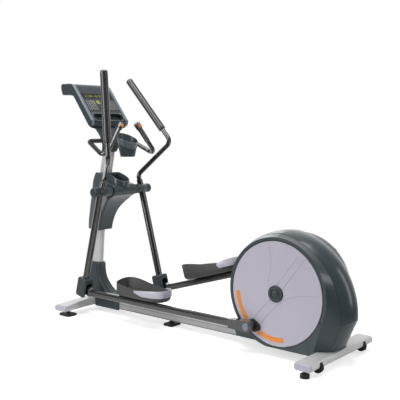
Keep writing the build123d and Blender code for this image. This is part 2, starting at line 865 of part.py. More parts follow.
for name, side in SIDES.items():
    plane = pedal_plane[name]
    start = plane.from_local_coords((arm_tube_start, -arm_axis_drop(arm_tube_start), 0))
    stop = plane.from_local_coords((arm_tube_stop, -arm_axis_drop(arm_tube_stop), 0))
    tube_plane = Plane(start, x_dir=(0, 1, 0), z_dir=stop - start)
    with BuildPart() as pedal_arm:
        with BuildSketch(tube_plane):
            RectangleRounded(pedal_arm_width, pedal_arm_height, pedal_arm_width * 0.4)
        extrude(amount=(stop - start).length)
        with BuildSketch(tube_plane):
            inner_width = pedal_arm_width - 2 * tube_wall
            RectangleRounded(inner_width, pedal_arm_height - 2 * tube_wall, inner_width * 0.36)
        extrude(amount=(stop - start).length, mode=Mode.SUBTRACT)
        with BuildSketch(plane):
            Circle(eye_radius)
            with Locations((arm_tube_start, -arm_axis_drop(arm_tube_start))):
                Circle(pedal_arm_height / 2)
            make_hull()
            Circle(boot_pin_radius + running_clearance, mode=Mode.SUBTRACT)
        extrude(amount=eye_width / 2, both=True)
        with BuildSketch(plane):
            with Locations((pedal_arm_length, 0)):
                Circle(crank_eye_radius)
            with Locations((arm_tube_stop, -arm_axis_drop(arm_tube_stop))):
                Rectangle(pedal_arm_height / 2, pedal_arm_height + 2 * tube_wall)
            make_hull()
            with Locations((pedal_arm_length, 0)):
                Circle(crank_pin_radius, mode=Mode.SUBTRACT)
        extrude(amount=eye_half, both=True)
    keep(pedal_arm, f"{name}_pedal_arm")

    pin_plane = Plane(
        plane.from_local_coords((pedal_arm_length, 0, side * (arm_y - pin_inner_y))),
        x_dir=plane.x_dir,
        z_dir=(0, side, 0),
    )
    cap_start = arm_y + eye_half - pin_inner_y
    with BuildPart() as crank_pin:
        with BuildSketch(pin_plane):
            Circle(crank_pin_radius)
        extrude(amount=cap_start)
        with BuildSketch(pin_plane.offset(cap_start)):
            Circle(pin_cap_radius)
        extrude(amount=pin_cap_height)
        outward = Axis(pin_plane.origin, pin_plane.z_dir)
        dome = crank_pin.faces().filter_by(GeomType.PLANE).sort_by(outward)[-1]
        fillet(dome.edges(), radius=pin_cap_height * 0.8)
        with BuildSketch(pin_plane):
            Circle(crank_eye_radius * 0.6)
        extrude(amount=arm_y - eye_half - pin_inner_y)
    keep(crank_pin, f"{name}_crank_pin")

    deck = tube_plane.from_local_coords((0, pedal_arm_height / 2, pedal_behind_boot - arm_tube_start))
    deck_plane = Plane((deck.X, side * pedal_y, deck.Z), x_dir=tube_plane.z_dir, z_dir=tube_plane.y_dir)
    tread_plane = deck_plane.offset(pedal_bracket_height)
    with BuildPart() as pedal:
        with BuildSketch(tread_plane):
            add(pedal_outline(pedal_length, pedal_width))
        extrude(amount=pedal_toe_height)
        with BuildSketch(tread_plane.offset(pedal_floor)):
            add(pedal_outline(pedal_length - 2 * pedal_wall, pedal_width - 2 * pedal_wall))
        extrude(amount=pedal_toe_height, mode=Mode.SUBTRACT)
        rim_plane = Plane(tread_plane.origin, x_dir=tread_plane.x_dir, z_dir=(0, -1, 0))
        with BuildSketch(rim_plane):
            with BuildLine():
                crest = ThreePointArc(
                    (-pedal_length / 2, pedal_toe_height * 0.94),
                    (-pedal_length * 0.28, pedal_toe_height * 0.86),
                    (pedal_length * 0.06, pedal_heel_height * 1.08),
                )
                Polyline(
                    crest @ 1,
                    (pedal_length / 2, pedal_heel_height),
                    (pedal_length, pedal_heel_height),
                    (pedal_length, 2 * pedal_toe_height),
                    (-pedal_length, 2 * pedal_toe_height),
                    (-pedal_length, pedal_toe_height * 0.94),
                    crest @ 0,
                )
            make_face()
        extrude(amount=pedal_width, both=True, mode=Mode.SUBTRACT)
        bracket_y = side * (arm_y - pedal_y)
        with BuildSketch(deck_plane):
            with Locations((-pedal_length / 4, bracket_y), (pedal_length / 4, bracket_y)):
                Rectangle(pedal_length / 8, pedal_arm_width * 0.5)
        extrude(amount=pedal_bracket_height)
    keep(pedal, f"{name}_pedal")

    with BuildPart() as heel_guard:
        with BuildSketch(tread_plane):
            add(pedal_outline(pedal_length + 2 * guard_thickness, pedal_width + 2 * guard_thickness))
            add(pedal_outline(pedal_length, pedal_width), mode=Mode.SUBTRACT)
            with Locations((pedal_length / 2 + guard_thickness - guard_length - pedal_length, 0)):
                Rectangle(2 * pedal_length, 2 * pedal_width, mode=Mode.SUBTRACT)
        extrude(amount=guard_height)
    keep(heel_guard, f"{name}_heel_guard")

# Crank
arm_outer_y = disc_face_y - disc_thickness
arm_inner_y = arm_outer_y - crank_arm_thickness


def boss_outline(grow):
    """The boss round a crank pin, drawn out to one side along the disc."""
    with BuildSketch() as outline:
        with Locations((crank_throw, 0)):
            Circle(boss_radius + grow)
        with Locations((crank_throw - boss_tail * 0.4, boss_tail)):
            Circle(boss_radius * 0.72 + grow)
        make_hull()
    return outline.sketch


with BuildPart() as crank_axle:
    add(y_cylinder(crank_x, crank_z, axle_radius, -arm_outer_y, arm_outer_y))
keep(crank_axle, "crank_axle")

with BuildPart() as crank_arms:
    for plane in crank_plane.values():
        with BuildSketch(plane.offset(arm_inner_y)):
            Circle(crank_arm_width / 2)
            with Locations((crank_throw, 0)):
                Circle(boss_radius)
            make_hull()
            Circle(axle_radius, mode=Mode.SUBTRACT)
        extrude(amount=crank_arm_thickness)
        with BuildSketch(plane.offset(arm_outer_y)):
            add(boss_outline(0))
        extrude(amount=boss_face_y - arm_outer_y)
keep(crank_arms, "crank_arms")

for name, plane in crank_plane.items():
    with BuildPart() as disc:
        with BuildSketch(plane.offset(arm_outer_y)):
            Circle(disc_radius)
            add(boss_outline(cover_gap), mode=Mode.SUBTRACT)
        extrude(amount=disc_thickness)
        rim = disc.edges().filter_by(GeomType.CIRCLE).sort_by(SortBy.LENGTH)[-2:]
        fillet(rim.sort_by(Axis(plane.origin, plane.z_dir))[-1], radius=disc_thickness / 2)
    keep(disc, f"{name}_disc")

with BuildPart() as disc_accents:
    for plane in crank_plane.values():
        for start in (accent_start, -accent_end):
            sweep_angle = accent_end - accent_start
            with BuildSketch(plane.offset(disc_face_y)):
                with BuildLine():
                    outer_arc = CenterArc((0, 0), accent_outer, start, sweep_angle)
                    inner_arc = CenterArc((0, 0), accent_inner, start, sweep_angle)
                    Line(outer_arc @ 0, inner_arc @ 0)
                    Line(outer_arc @ 1, inner_arc @ 1)
                make_face()
                add(boss_outline(cover_gap), mode=Mode.SUBTRACT)
            extrude(amount=accent_thickness)
keep(disc_accents, "disc_accents")

with BuildPart() as hub_caps:
    for plane in crank_plane.values():
        with BuildSketch(plane.offset(disc_face_y)):
            Circle(hub_cap_radius)
        extrude(amount=hub_cap_height)
        with BuildSketch(plane.offset(disc_face_y + hub_cap_height)):
            Circle(hub_cap_radius * 0.58)
            Circle(hub_cap_radius * 0.5, mode=Mode.SUBTRACT)
        extrude(amount=-hub_cap_height / 4, mode=Mode.SUBTRACT)
    rims = hub_caps.edges().filter_by(GeomType.CIRCLE)
    cap_rims = [rim for rim in rims if rim.radius == hub_cap_radius]
    outer_rims = [rim for rim in cap_rims if abs(rim.center().Y) > disc_face_y + hub_cap_height / 4]
    fillet(outer_rims, radius=hub_cap_height / 2)
keep(hub_caps, "hub_caps")

# Drive inside the housing
flywheel_x = behind(flywheel_behind)
driven_radius = drive_pulley_radius / flywheel_ratio
plate_inner_y = bearing_y - frame_plate / 2
seat_radius = bearing_radius + frame_plate

with BuildPart() as drive_pulley:
    add(y_cylinder(crank_x, crank_z, drive_pulley_radius, -drive_pulley_width / 2, drive_pulley_width / 2))
    with BuildSketch(Plane.XZ):
        with Locations((crank_x, crank_z)):
            with PolarLocations(drive_pulley_radius * 0.6, 6):
                Circle(drive_pulley_radius * 0.2)
    extrude(amount=drive_pulley_width, both=True, mode=Mode.SUBTRACT)
    add(crank_axle.part, mode=Mode.SUBTRACT)
keep(drive_pulley, "drive_pulley")

with BuildPart() as crank_bearings:
    for side in SIDES.values():
        inner = side * (bearing_y - bearing_width / 2)
        outer = side * (bearing_y + bearing_width / 2)
        add(y_cylinder(crank_x, crank_z, bearing_radius, inner, outer))
    bore = axle_radius + running_clearance
    add(y_cylinder(crank_x, crank_z, bore, -disc_face_y, disc_face_y), mode=Mode.SUBTRACT)
keep(crank_bearings, "crank_bearings")

with BuildPart() as drive_frame:
    with Locations((crank_x + (frame_behind - frame_ahead) / 2, 0, rail_top)):
        Box(
            frame_ahead + frame_behind,
            2 * (plate_inner_y + frame_plate),
            frame_plate,
            align=(Align.CENTER, Align.CENTER, Align.MIN),
        )
    for side in SIDES.values():
        with BuildSketch(Plane.XZ.offset(-side * plate_inner_y)):
            with Locations((crank_x, crank_z)):
                Circle(seat_radius)
            with Locations((flywheel_x, flywheel_z)):
                Circle(3 * flywheel_axle_radius)
            with Locations((crank_x + (frame_behind - frame_ahead) / 2, rail_top + frame_plate / 2)):
                Rectangle(frame_ahead + frame_behind, frame_plate)
            make_hull()
        extrude(amount=-side * frame_plate)
        inner = side * (bearing_y - bearing_width / 2)
        outer = side * (bearing_y + bearing_width / 2)
        add(y_cylinder(crank_x, crank_z, seat_radius, inner, outer))
    add(
        y_cylinder(crank_x, crank_z, bearing_radius, -disc_face_y, disc_face_y),
        mode=Mode.SUBTRACT,
    )
    add(y_cylinder(flywheel_x, flywheel_z, flywheel_axle_radius, -plate_inner_y, plate_inner_y))
keep(drive_frame, "drive_frame")

with BuildPart() as flywheel:
    add(y_cylinder(flywheel_x, flywheel_z, driven_radius, -drive_pulley_width / 2, drive_pulley_width / 2))
    rotor_start = drive_pulley_width / 2
    add(y_cylinder(flywheel_x, flywheel_z, flywheel_radius, rotor_start, rotor_start + flywheel_width))
    bore = flywheel_axle_radius + running_clearance
    add(y_cylinder(flywheel_x, flywheel_z, bore, -disc_face_y, disc_face_y), mode=Mode.SUBTRACT)
keep(flywheel, "flywheel")

with BuildPart() as drive_belt:
    for grow, mode in ((belt_gap + belt_thickness, Mode.ADD), (belt_gap, Mode.SUBTRACT)):
        with BuildSketch(Plane.XZ):
            with Locations((crank_x, crank_z)):
                Circle(drive_pulley_radius + grow)
            with Locations((flywheel_x, flywheel_z)):
                Circle(driven_radius + grow)
            make_hull()
        extrude(amount=belt_width / 2, both=True, mode=mode)
keep(drive_belt, "drive_belt")


def housing_outline(station, outline, inset):
    """One upright section of the drive housing, seen from the side.

    Args:
        station: Y of the section.
        outline: crown radius, a point on the back, the waist point and the foot, from the crank axis.
        inset: how far the section is drawn in.

    Returns:
        The section as a sketch.
    """
    radius, back, waist, foot = outline
    front = [
        (radius * cos(radians(angle)), crank_z + radius * sin(radians(angle)))
        for angle in (housing_front_angle, housing_mid_angle)
    ]
    with BuildSketch(Plane((crank_x, station, 0), x_dir=(1, 0, 0), z_dir=(0, -1, 0))) as section:
        with BuildLine():
            crown = ThreePointArc(*front, (0, crank_z + radius))
            rear = ThreePointArc(crown @ 1, back, waist)
            Polyline(rear @ 1, (foot, 0), (front[0][0], 0), crown @ 0)
        make_face()
        if inset:
            offset(amount=-inset, mode=Mode.REPLACE)
    return section.sketch


def housing_form(inset):
    """The drive housing's body: a barrel round the discs, a tail behind it and a nose over the rail."""
    ring_y = disc_face_y - inset
    with BuildPart() as form:
        add(housing_outline(-housing_seam_y, seam_outline, inset))
        add(housing_outline(0, crown_outline, inset))
        add(housing_outline(housing_seam_y, seam_outline, inset))
        loft()
        for side in SIDES.values():
            add(housing_outline(side * housing_seam_y, seam_outline, inset))
            add(housing_outline(side * ring_y, ring_outline, inset))
            loft(ruled=True)
        with BuildSketch(Plane.XZ):
            Polygon(
                (ahead(nose_ahead - nose_toe), 0),
                (ahead(nose_ahead), nose_top - nose_chamfer),
                (ahead(nose_ahead - nose_chamfer), nose_top),
                (crank_x, crank_z),
                (crank_x, 0),
                align=None,
            )
            if inset:
                offset(amount=-inset, mode=Mode.REPLACE)
        extrude(amount=nose_half_width - inset, both=True)
        split(bisect_by=Plane.XY.offset(housing_bottom - inset), keep=Keep.TOP)
    return form.part


screw_turns = [radians(angle) for angle in housing_screw_angles]
screw_places = [
    (crank_x + housing_screw_circle * cos(turn), crank_z + housing_screw_circle * sin(turn))
    for turn in screw_turns
]
with BuildPart() as housing_screws:
    for side in SIDES.values():
        with BuildSketch(Plane.XZ.offset(-side * disc_face_y)):
            with Locations(*screw_places):
                Circle(screw_radius)
        extrude(amount=-side * screw_head)
        with BuildSketch(Plane.XZ.offset(-side * disc_face_y)):
            with Locations(*screw_places):
                Circle(screw_radius / 2)
        extrude(amount=side * 2 * housing_wall)
keep(housing_screws, "housing_screws")

with BuildPart() as housing:
    add(housing_form(0))
    add(housing_form(housing_wall), mode=Mode.SUBTRACT)
    opening = disc_radius + disc_rim_gap
    add(y_cylinder(crank_x, crank_z, opening, -2 * disc_face_y, 2 * disc_face_y), mode=Mode.SUBTRACT)
    with BuildSketch(Plane.YZ.offset(ahead(2 * nose_ahead))):
        with Locations((0, rail_z)):
            RectangleRounded(rail_cut_width, rail_cut_height, rail_corner + cover_gap)
    extrude(amount=2 * nose_ahead + housing_rear, mode=Mode.SUBTRACT)
    with BuildSketch(Plane.XZ.offset(-rear_beam_half_span)):
        with Locations((rear_beam_x, rear_beam_z)):
            RectangleRounded(
                rear_beam_width + 2 * cover_gap, rear_beam_height + 2 * cover_gap, beam_corner + cover_gap
            )
    extrude(amount=2 * rear_beam_half_span, mode=Mode.SUBTRACT)
    add(housing_screws.part, mode=Mode.SUBTRACT)
for name, side in SIDES.items():
    with BuildPart() as housing_side:
        add(housing.part)
        split(bisect_by=Plane.XZ.offset(-side * housing_seam_y), keep=Keep.BOTTOM if side > 0 else Keep.TOP)
    keep(housing_side, f"housing_{name}")
with BuildPart() as housing_band:
    add(housing.part)
    split(bisect_by=Plane.XZ.offset(housing_seam_y), keep=Keep.BOTTOM)
    split(bisect_by=Plane.XZ.offset(-housing_seam_y), keep=Keep.TOP)
keep(housing_band, "housing_band")

# Console
face_foot_x = ahead(console_face_foot[0])
chin_depth = console_thickness * 0.4
face_foot_z = console_face_foot[1]
face_rise_x = ahead(console_face_head[0]) - face_foot_x
face_rise_z = console_face_head[1] - face_foot_z
face_length = hypot(face_rise_x, face_rise_z)
face_top_x = face_foot_x + face_rise_x * (console_top_z - face_foot_z) / face_rise_z
face_plane = Plane(
    (face_foot_x, 0, face_foot_z),
    x_dir=(0, 1, 0),
    z_dir=(face_rise_z / face_length, 0, -face_rise_x / face_length),
)


def console_form(inset):
    """The console's side profile across its width: a sloping face that bends into a forward lip."""
    with BuildPart() as form:
        with BuildSketch(Plane.XZ):
            with BuildLine():
                Polyline(
                    (face_foot_x, face_foot_z - console_chin),
                    (face_foot_x, face_foot_z),
                    (face_top_x, console_top_z),
                    (ahead(console_lip_ahead), console_top_z),
                    (ahead(console_lip_ahead), console_top_z - console_lip_height * 0.4),
                    (ahead(console_lip_ahead - console_lip_rake), console_top_z - console_lip_height),
                    (face_top_x + console_wall * 0.6, console_top_z - console_lip_height),
                    (face_foot_x - chin_depth, face_foot_z - console_chin - chin_depth),
                    close=True,
                )
            make_face()
            bends = [v for v in vertices() if abs(v.X - face_top_x) < console_wall]
            fillet(bends, radius=console_bend)
            lips = [v for v in vertices() if v.X < ahead(console_lip_ahead - 1.5 * console_lip_rake)]
            fillet(lips, radius=console_lip_height * 0.2)
            if inset:
                offset(amount=-inset, mode=Mode.REPLACE)
        extrude(amount=console_half_width - inset, both=True)
    return form.part


def console_body():
    """The console's outer form, with rounded lower corners and eased side edges."""
    foot = console_form(0).vertices().sort_by(Axis(face_plane.origin, face_plane.y_dir))[0]
    drop = face_plane.to_local_coords(foot.center()).Y
    with BuildPart() as body:
        add(console_form(0))
        with BuildSketch(face_plane):
            with Locations((0, drop + face_length)):
                RectangleRounded(2 * console_half_width, 2 * face_length, console_corner)
        extrude(amount=face_length, both=True, mode=Mode.INTERSECT)
        side_rims = body.faces().filter_by(Axis.Y).edges()
        across = [edge for edge in side_rims if abs((edge % 0.5).dot(face_plane.z_dir)) < 0.99]
        fillet(across, radius=console_wall * 0.6)
    return body.part


tray_slot_middle = (console_tray_start + console_tray_stop) / 2
tray_slot_height = console_tray_stop - console_tray_start
panel_start = console_tray_stop + console_wall
panel_stop = face_length - console_wall
panel_middle = (panel_start + panel_stop) / 2
window_start = panel_stop - console_wall - window_height
with BuildPart() as console_hollow:
    add(console_form(console_wall))
    split(bisect_by=Plane.XY.offset(face_foot_z + face_rise_z * panel_start / face_length), keep=Keep.TOP)

with BuildPart() as console_shell:
    add(console_body())
    add(console_hollow.part, mode=Mode.SUBTRACT)
    with BuildSketch(face_plane):
        with Locations((0, panel_middle)):
            Rectangle(2 * console_panel_half_width, panel_stop - panel_start)
    extrude(amount=-console_panel_depth, mode=Mode.SUBTRACT)
    with BuildSketch(face_plane):
        with Locations((0, tray_slot_middle)):
            RectangleRounded(2 * console_tray_half_width, tray_slot_height, console_tray_corner)
    extrude(amount=-console_tray_depth, mode=Mode.SUBTRACT)
keep(console_shell, "console_shell")

with BuildPart() as console_face:
    with BuildSketch(face_plane):
        with Locations((0, panel_middle)):
            Rectangle(2 * console_panel_half_width, panel_stop - panel_start)
    extrude(amount=-console_panel_depth)
    with BuildSketch(face_plane):
        with Locations((0, window_start + window_height / 2)):
            Rectangle(2 * window_half_width, window_height)
    extrude(amount=-console_panel_depth / 2, mode=Mode.SUBTRACT)
keep(console_face, "console_face")

with BuildPart() as display_window:
    with BuildSketch(face_plane):
        with Locations((0, window_start + window_height / 2)):
            Rectangle(2 * window_half_width, window_height)
    extrude(amount=-console_panel_depth / 2)
keep(display_window, "display_window")

# Fixed handlebar with its end caps, sensors and thumb buttons


def mirrored(point, side):
    """A fixed handlebar point on one side, from its distance ahead, its distance out and its height."""
    return Vector(ahead(point[0]), side * point[1], point[2])


fixed_bar_corner = (fixed_bar_ahead, fixed_bar_corner_y, fixed_bar_z)
grip_line = {}
for name, side in SIDES.items():
    low = mirrored(fixed_bar_low, side)
    tip = mirrored(fixed_bar_tip, side)
    along = (tip - low).normalized()
    facing = (Vector(1, 0, 0) - along * along.X).normalized()
    button_middle = tip - along * (button_radius + end_cap_round)
    grip_line[name] = (low, tip, along, Plane(button_middle, x_dir=along, z_dir=facing))

with BuildPart() as fixed_handlebar:
    with BuildLine():
        bar_path = FilletPolyline(
            mirrored(fixed_bar_tip, -1),
            mirrored(fixed_bar_low, -1),
            mirrored(fixed_bar_corner, -1),
            mirrored(fixed_bar_corner, 1),
            mirrored(fixed_bar_low, 1),
            mirrored(fixed_bar_tip, 1),
            radius=fixed_bar_bend,
        )
    with BuildSketch(Plane(bar_path @ 0, z_dir=bar_path % 0)):
        Circle(fixed_bar_radius)
        Circle(fixed_bar_radius - arm_tube_wall, mode=Mode.SUBTRACT)
    sweep(path=bar_path)
    for low, tip, along, button_plane in grip_line.values():
        cap_start = tip - along * end_cap_reach
        with BuildSketch(Plane(cap_start, z_dir=along)):
            Circle(end_cap_radius)
        extrude(amount=end_cap_reach + side_gap)
        flat_faces = fixed_handlebar.faces().filter_by(GeomType.PLANE)
        cap_end = flat_faces.sort_by_distance(tip + along * side_gap)[0]
        fillet(cap_end.edges(), radius=end_cap_round)
        with BuildSketch(button_plane.offset(end_cap_radius)):
            Circle(button_radius + pin_gap)
        extrude(amount=-button_height - button_travel - pin_gap, mode=Mode.SUBTRACT)
keep(fixed_handlebar, "fixed_handlebar")

with BuildPart() as pulse_sensors:
    for low, tip, along, button_plane in grip_line.values():
        sensor_start = tip - along * (end_cap_reach + 2 * side_gap + sensor_length)
        with BuildSketch(Plane(sensor_start, z_dir=along)):
            Circle(fixed_bar_radius + sensor_thickness)
            Circle(fixed_bar_radius, mode=Mode.SUBTRACT)
        extrude(amount=sensor_length)
keep(pulse_sensors, "pulse_sensors")

for name, (low, tip, along, button_plane) in grip_line.items():
    with BuildPart() as thumb_button:
        with BuildSketch(button_plane.offset(end_cap_radius + button_travel)):
            Circle(button_radius)
        extrude(amount=-button_height - button_travel)
        outward = Axis(button_plane.origin, button_plane.z_dir)
        dome = thumb_button.faces().filter_by(GeomType.PLANE).sort_by(outward)[-1]
        fillet(dome.edges(), radius=button_travel / 2)
    keep(thumb_button, f"{name}_thumb_button")

# Neck between mast and console
with BuildPart() as console_neck:
    for place_ahead, z, depth, width in neck_sections:
        with BuildSketch(Plane.XY.offset(z)):
            with Locations((ahead(place_ahead), 0)):
                RectangleRounded(depth, width, min(depth, width) * 0.4)
    loft()
    add(console_form(0), mode=Mode.SUBTRACT)
    add(mast_form(0), mode=Mode.SUBTRACT)
    bar_half_span = fixed_bar_corner_y
    add(
        y_cylinder(ahead(fixed_bar_ahead), fixed_bar_z, fixed_bar_radius, -bar_half_span, bar_half_span),
        mode=Mode.SUBTRACT,
    )
keep(console_neck, "console_neck")

# Cup holder behind the neck
cup_x = ahead(cup_ahead)


def cup_body(inset):
    """The cup's tapering round body, set in by its wall, with a mouth that slopes down towards the user."""
    with BuildPart() as body:
        with BuildSketch(Plane.XY.offset(cup_bottom + inset)):
            with Locations((cup_x, 0)):
                Circle(cup_bottom_radius - inset)
        with BuildSketch(Plane.XY.offset(cup_top)):
            with Locations((cup_x, 0)):
                Circle(cup_top_radius - inset)
        loft()
    return body.part


with BuildPart() as cup_holder:
    with Locations((cup_x - cup_arm_length / 2, 0, cup_arm_z)):
        Box(cup_arm_length, cup_arm_width, cup_arm_height)
    add(console_neck.part, mode=Mode.SUBTRACT)
    add(cup_body(0))
    add(cup_body(cup_wall), mode=Mode.SUBTRACT)
    split(bisect_by=Plane((cup_x, 0, cup_mouth_z), z_dir=(cup_mouth_slope, 0, 1)), keep=Keep.BOTTOM)
keep(cup_holder, "cup_holder")
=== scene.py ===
"""Studio scene of an elliptical trainer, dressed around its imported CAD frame."""

from __future__ import annotations

import json
import logging
import math
from dataclasses import dataclass, replace
from enum import Enum
from typing import Iterable, Sequence

import bmesh
import bpy
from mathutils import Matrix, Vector

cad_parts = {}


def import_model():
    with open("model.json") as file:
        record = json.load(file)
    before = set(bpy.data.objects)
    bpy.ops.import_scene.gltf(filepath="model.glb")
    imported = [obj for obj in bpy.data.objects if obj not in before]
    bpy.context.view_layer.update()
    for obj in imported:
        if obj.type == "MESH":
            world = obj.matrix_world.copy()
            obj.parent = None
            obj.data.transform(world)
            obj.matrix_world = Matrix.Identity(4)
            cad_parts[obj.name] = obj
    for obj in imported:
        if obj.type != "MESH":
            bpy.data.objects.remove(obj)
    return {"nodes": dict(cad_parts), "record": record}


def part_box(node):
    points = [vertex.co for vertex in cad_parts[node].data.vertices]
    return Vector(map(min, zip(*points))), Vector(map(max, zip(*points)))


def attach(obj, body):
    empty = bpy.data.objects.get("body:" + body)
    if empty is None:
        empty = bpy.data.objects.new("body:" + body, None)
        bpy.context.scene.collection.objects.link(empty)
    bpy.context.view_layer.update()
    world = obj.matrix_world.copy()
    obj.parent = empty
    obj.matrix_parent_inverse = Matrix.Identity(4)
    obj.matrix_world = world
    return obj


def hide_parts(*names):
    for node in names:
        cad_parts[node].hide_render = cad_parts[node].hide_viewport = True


LOG = logging.getLogger("elliptical_trainer")
MM = 0.001
UP = Vector((0.0, 0.0, 1.0))
Pair = tuple[float, float]
Triple = tuple[float, float, float]
Colour = tuple[int, int, int]
Form = tuple[list[Vector], list[list[int]]]
Tree = bpy.types.NodeTree
Socket = bpy.types.NodeSocket
Inputs = dict[str | int, object]


class Side(Enum):
    """The two sides of the machine, by the sign of their Y."""

    LEFT = -1
    RIGHT = 1

    @property
    def word(self) -> str:
        """The side's name as the nodes and bodies write it."""
        return self.name.lower()

    @property
    def axis(self) -> Vector:
        """The unit vector that points outward on this side."""
        return Vector((0.0, float(self.value), 0.0))


class Texture(Enum):
    """The surface effects that the finishes share."""

    MOULDED = "moulded_skin"
    FLAKE = "metal_flake"
    FOAM = "foam_cells"
    BRUSHED = "brushed_grain"
    STIPPLE = "rubber_stipple"


def linear(rgb: Colour) -> tuple[float, float, float, float]:
    """A colour as it looks on screen, turned into shader values.

    Args:
        rgb: red, green and blue from 0 to 255.

    Returns:
        The linear colour with full alpha.
    """
    values = []
    for channel in rgb:
        share = channel / 255
        values.append(share / 12.92 if share <= 0.04045 else ((share + 0.055) / 1.055) ** 2.4)
    return values[0], values[1], values[2], 1.0


def in_mm(pairs: Iterable[Pair]) -> list[Pair]:
    """Pairs of millimetres, turned into metres."""
    return [(first * MM, second * MM) for first, second in pairs]


def in_plane(x: float, z: float) -> Vector:
    """A point or a direction in the machine's middle plane."""
    return Vector((x, 0.0, z))


def full_turns(steps: int, last: bool = False) -> list[float]:
    """Even turns about a circle, with the end of the circle too where it is asked for."""
    return [math.tau * step / steps for step in range(steps + last)]


def fill(tree: Tree, node: bpy.types.Node, inputs: Inputs) -> None:
    """Links or sets inputs of a node.

    Args:
        tree: the tree that holds the node.
        node: the node.
        inputs: for each input, by name or place, a socket to link or a value to set.
    """
    for place, value in inputs.items():
        if isinstance(value, Socket):
            tree.links.new(value, node.inputs[place])
        else:
            node.inputs[place].default_value = value


def add_node(tree: Tree, kind: str, inputs: Inputs, **settings: object) -> bpy.types.Node:
    """Adds a node to a tree.

    Args:
        tree: the tree that takes the node.
        kind: the node's type.
        inputs: what its inputs are linked or set to.
        settings: the node's own options.

    Returns:
        The new node.
    """
    node = tree.nodes.new(kind)
    for name, value in settings.items():
        setattr(node, name, value)
    fill(tree, node, inputs)
    return node


def combine(tree: Tree, kind: str, first: object, second: object) -> Socket:
    """The output of a Math node on two sockets or numbers."""
    return add_node(tree, "ShaderNodeMath", {0: first, 1: second}, operation=kind).outputs[0]


def add_sockets(tree: Tree, direction: str, kind: str, *names: str) -> None:
    """Gives a node group inputs or outputs of one type."""
    for name in names:
        tree.interface.new_socket(name=name, in_out=direction, socket_type=kind)


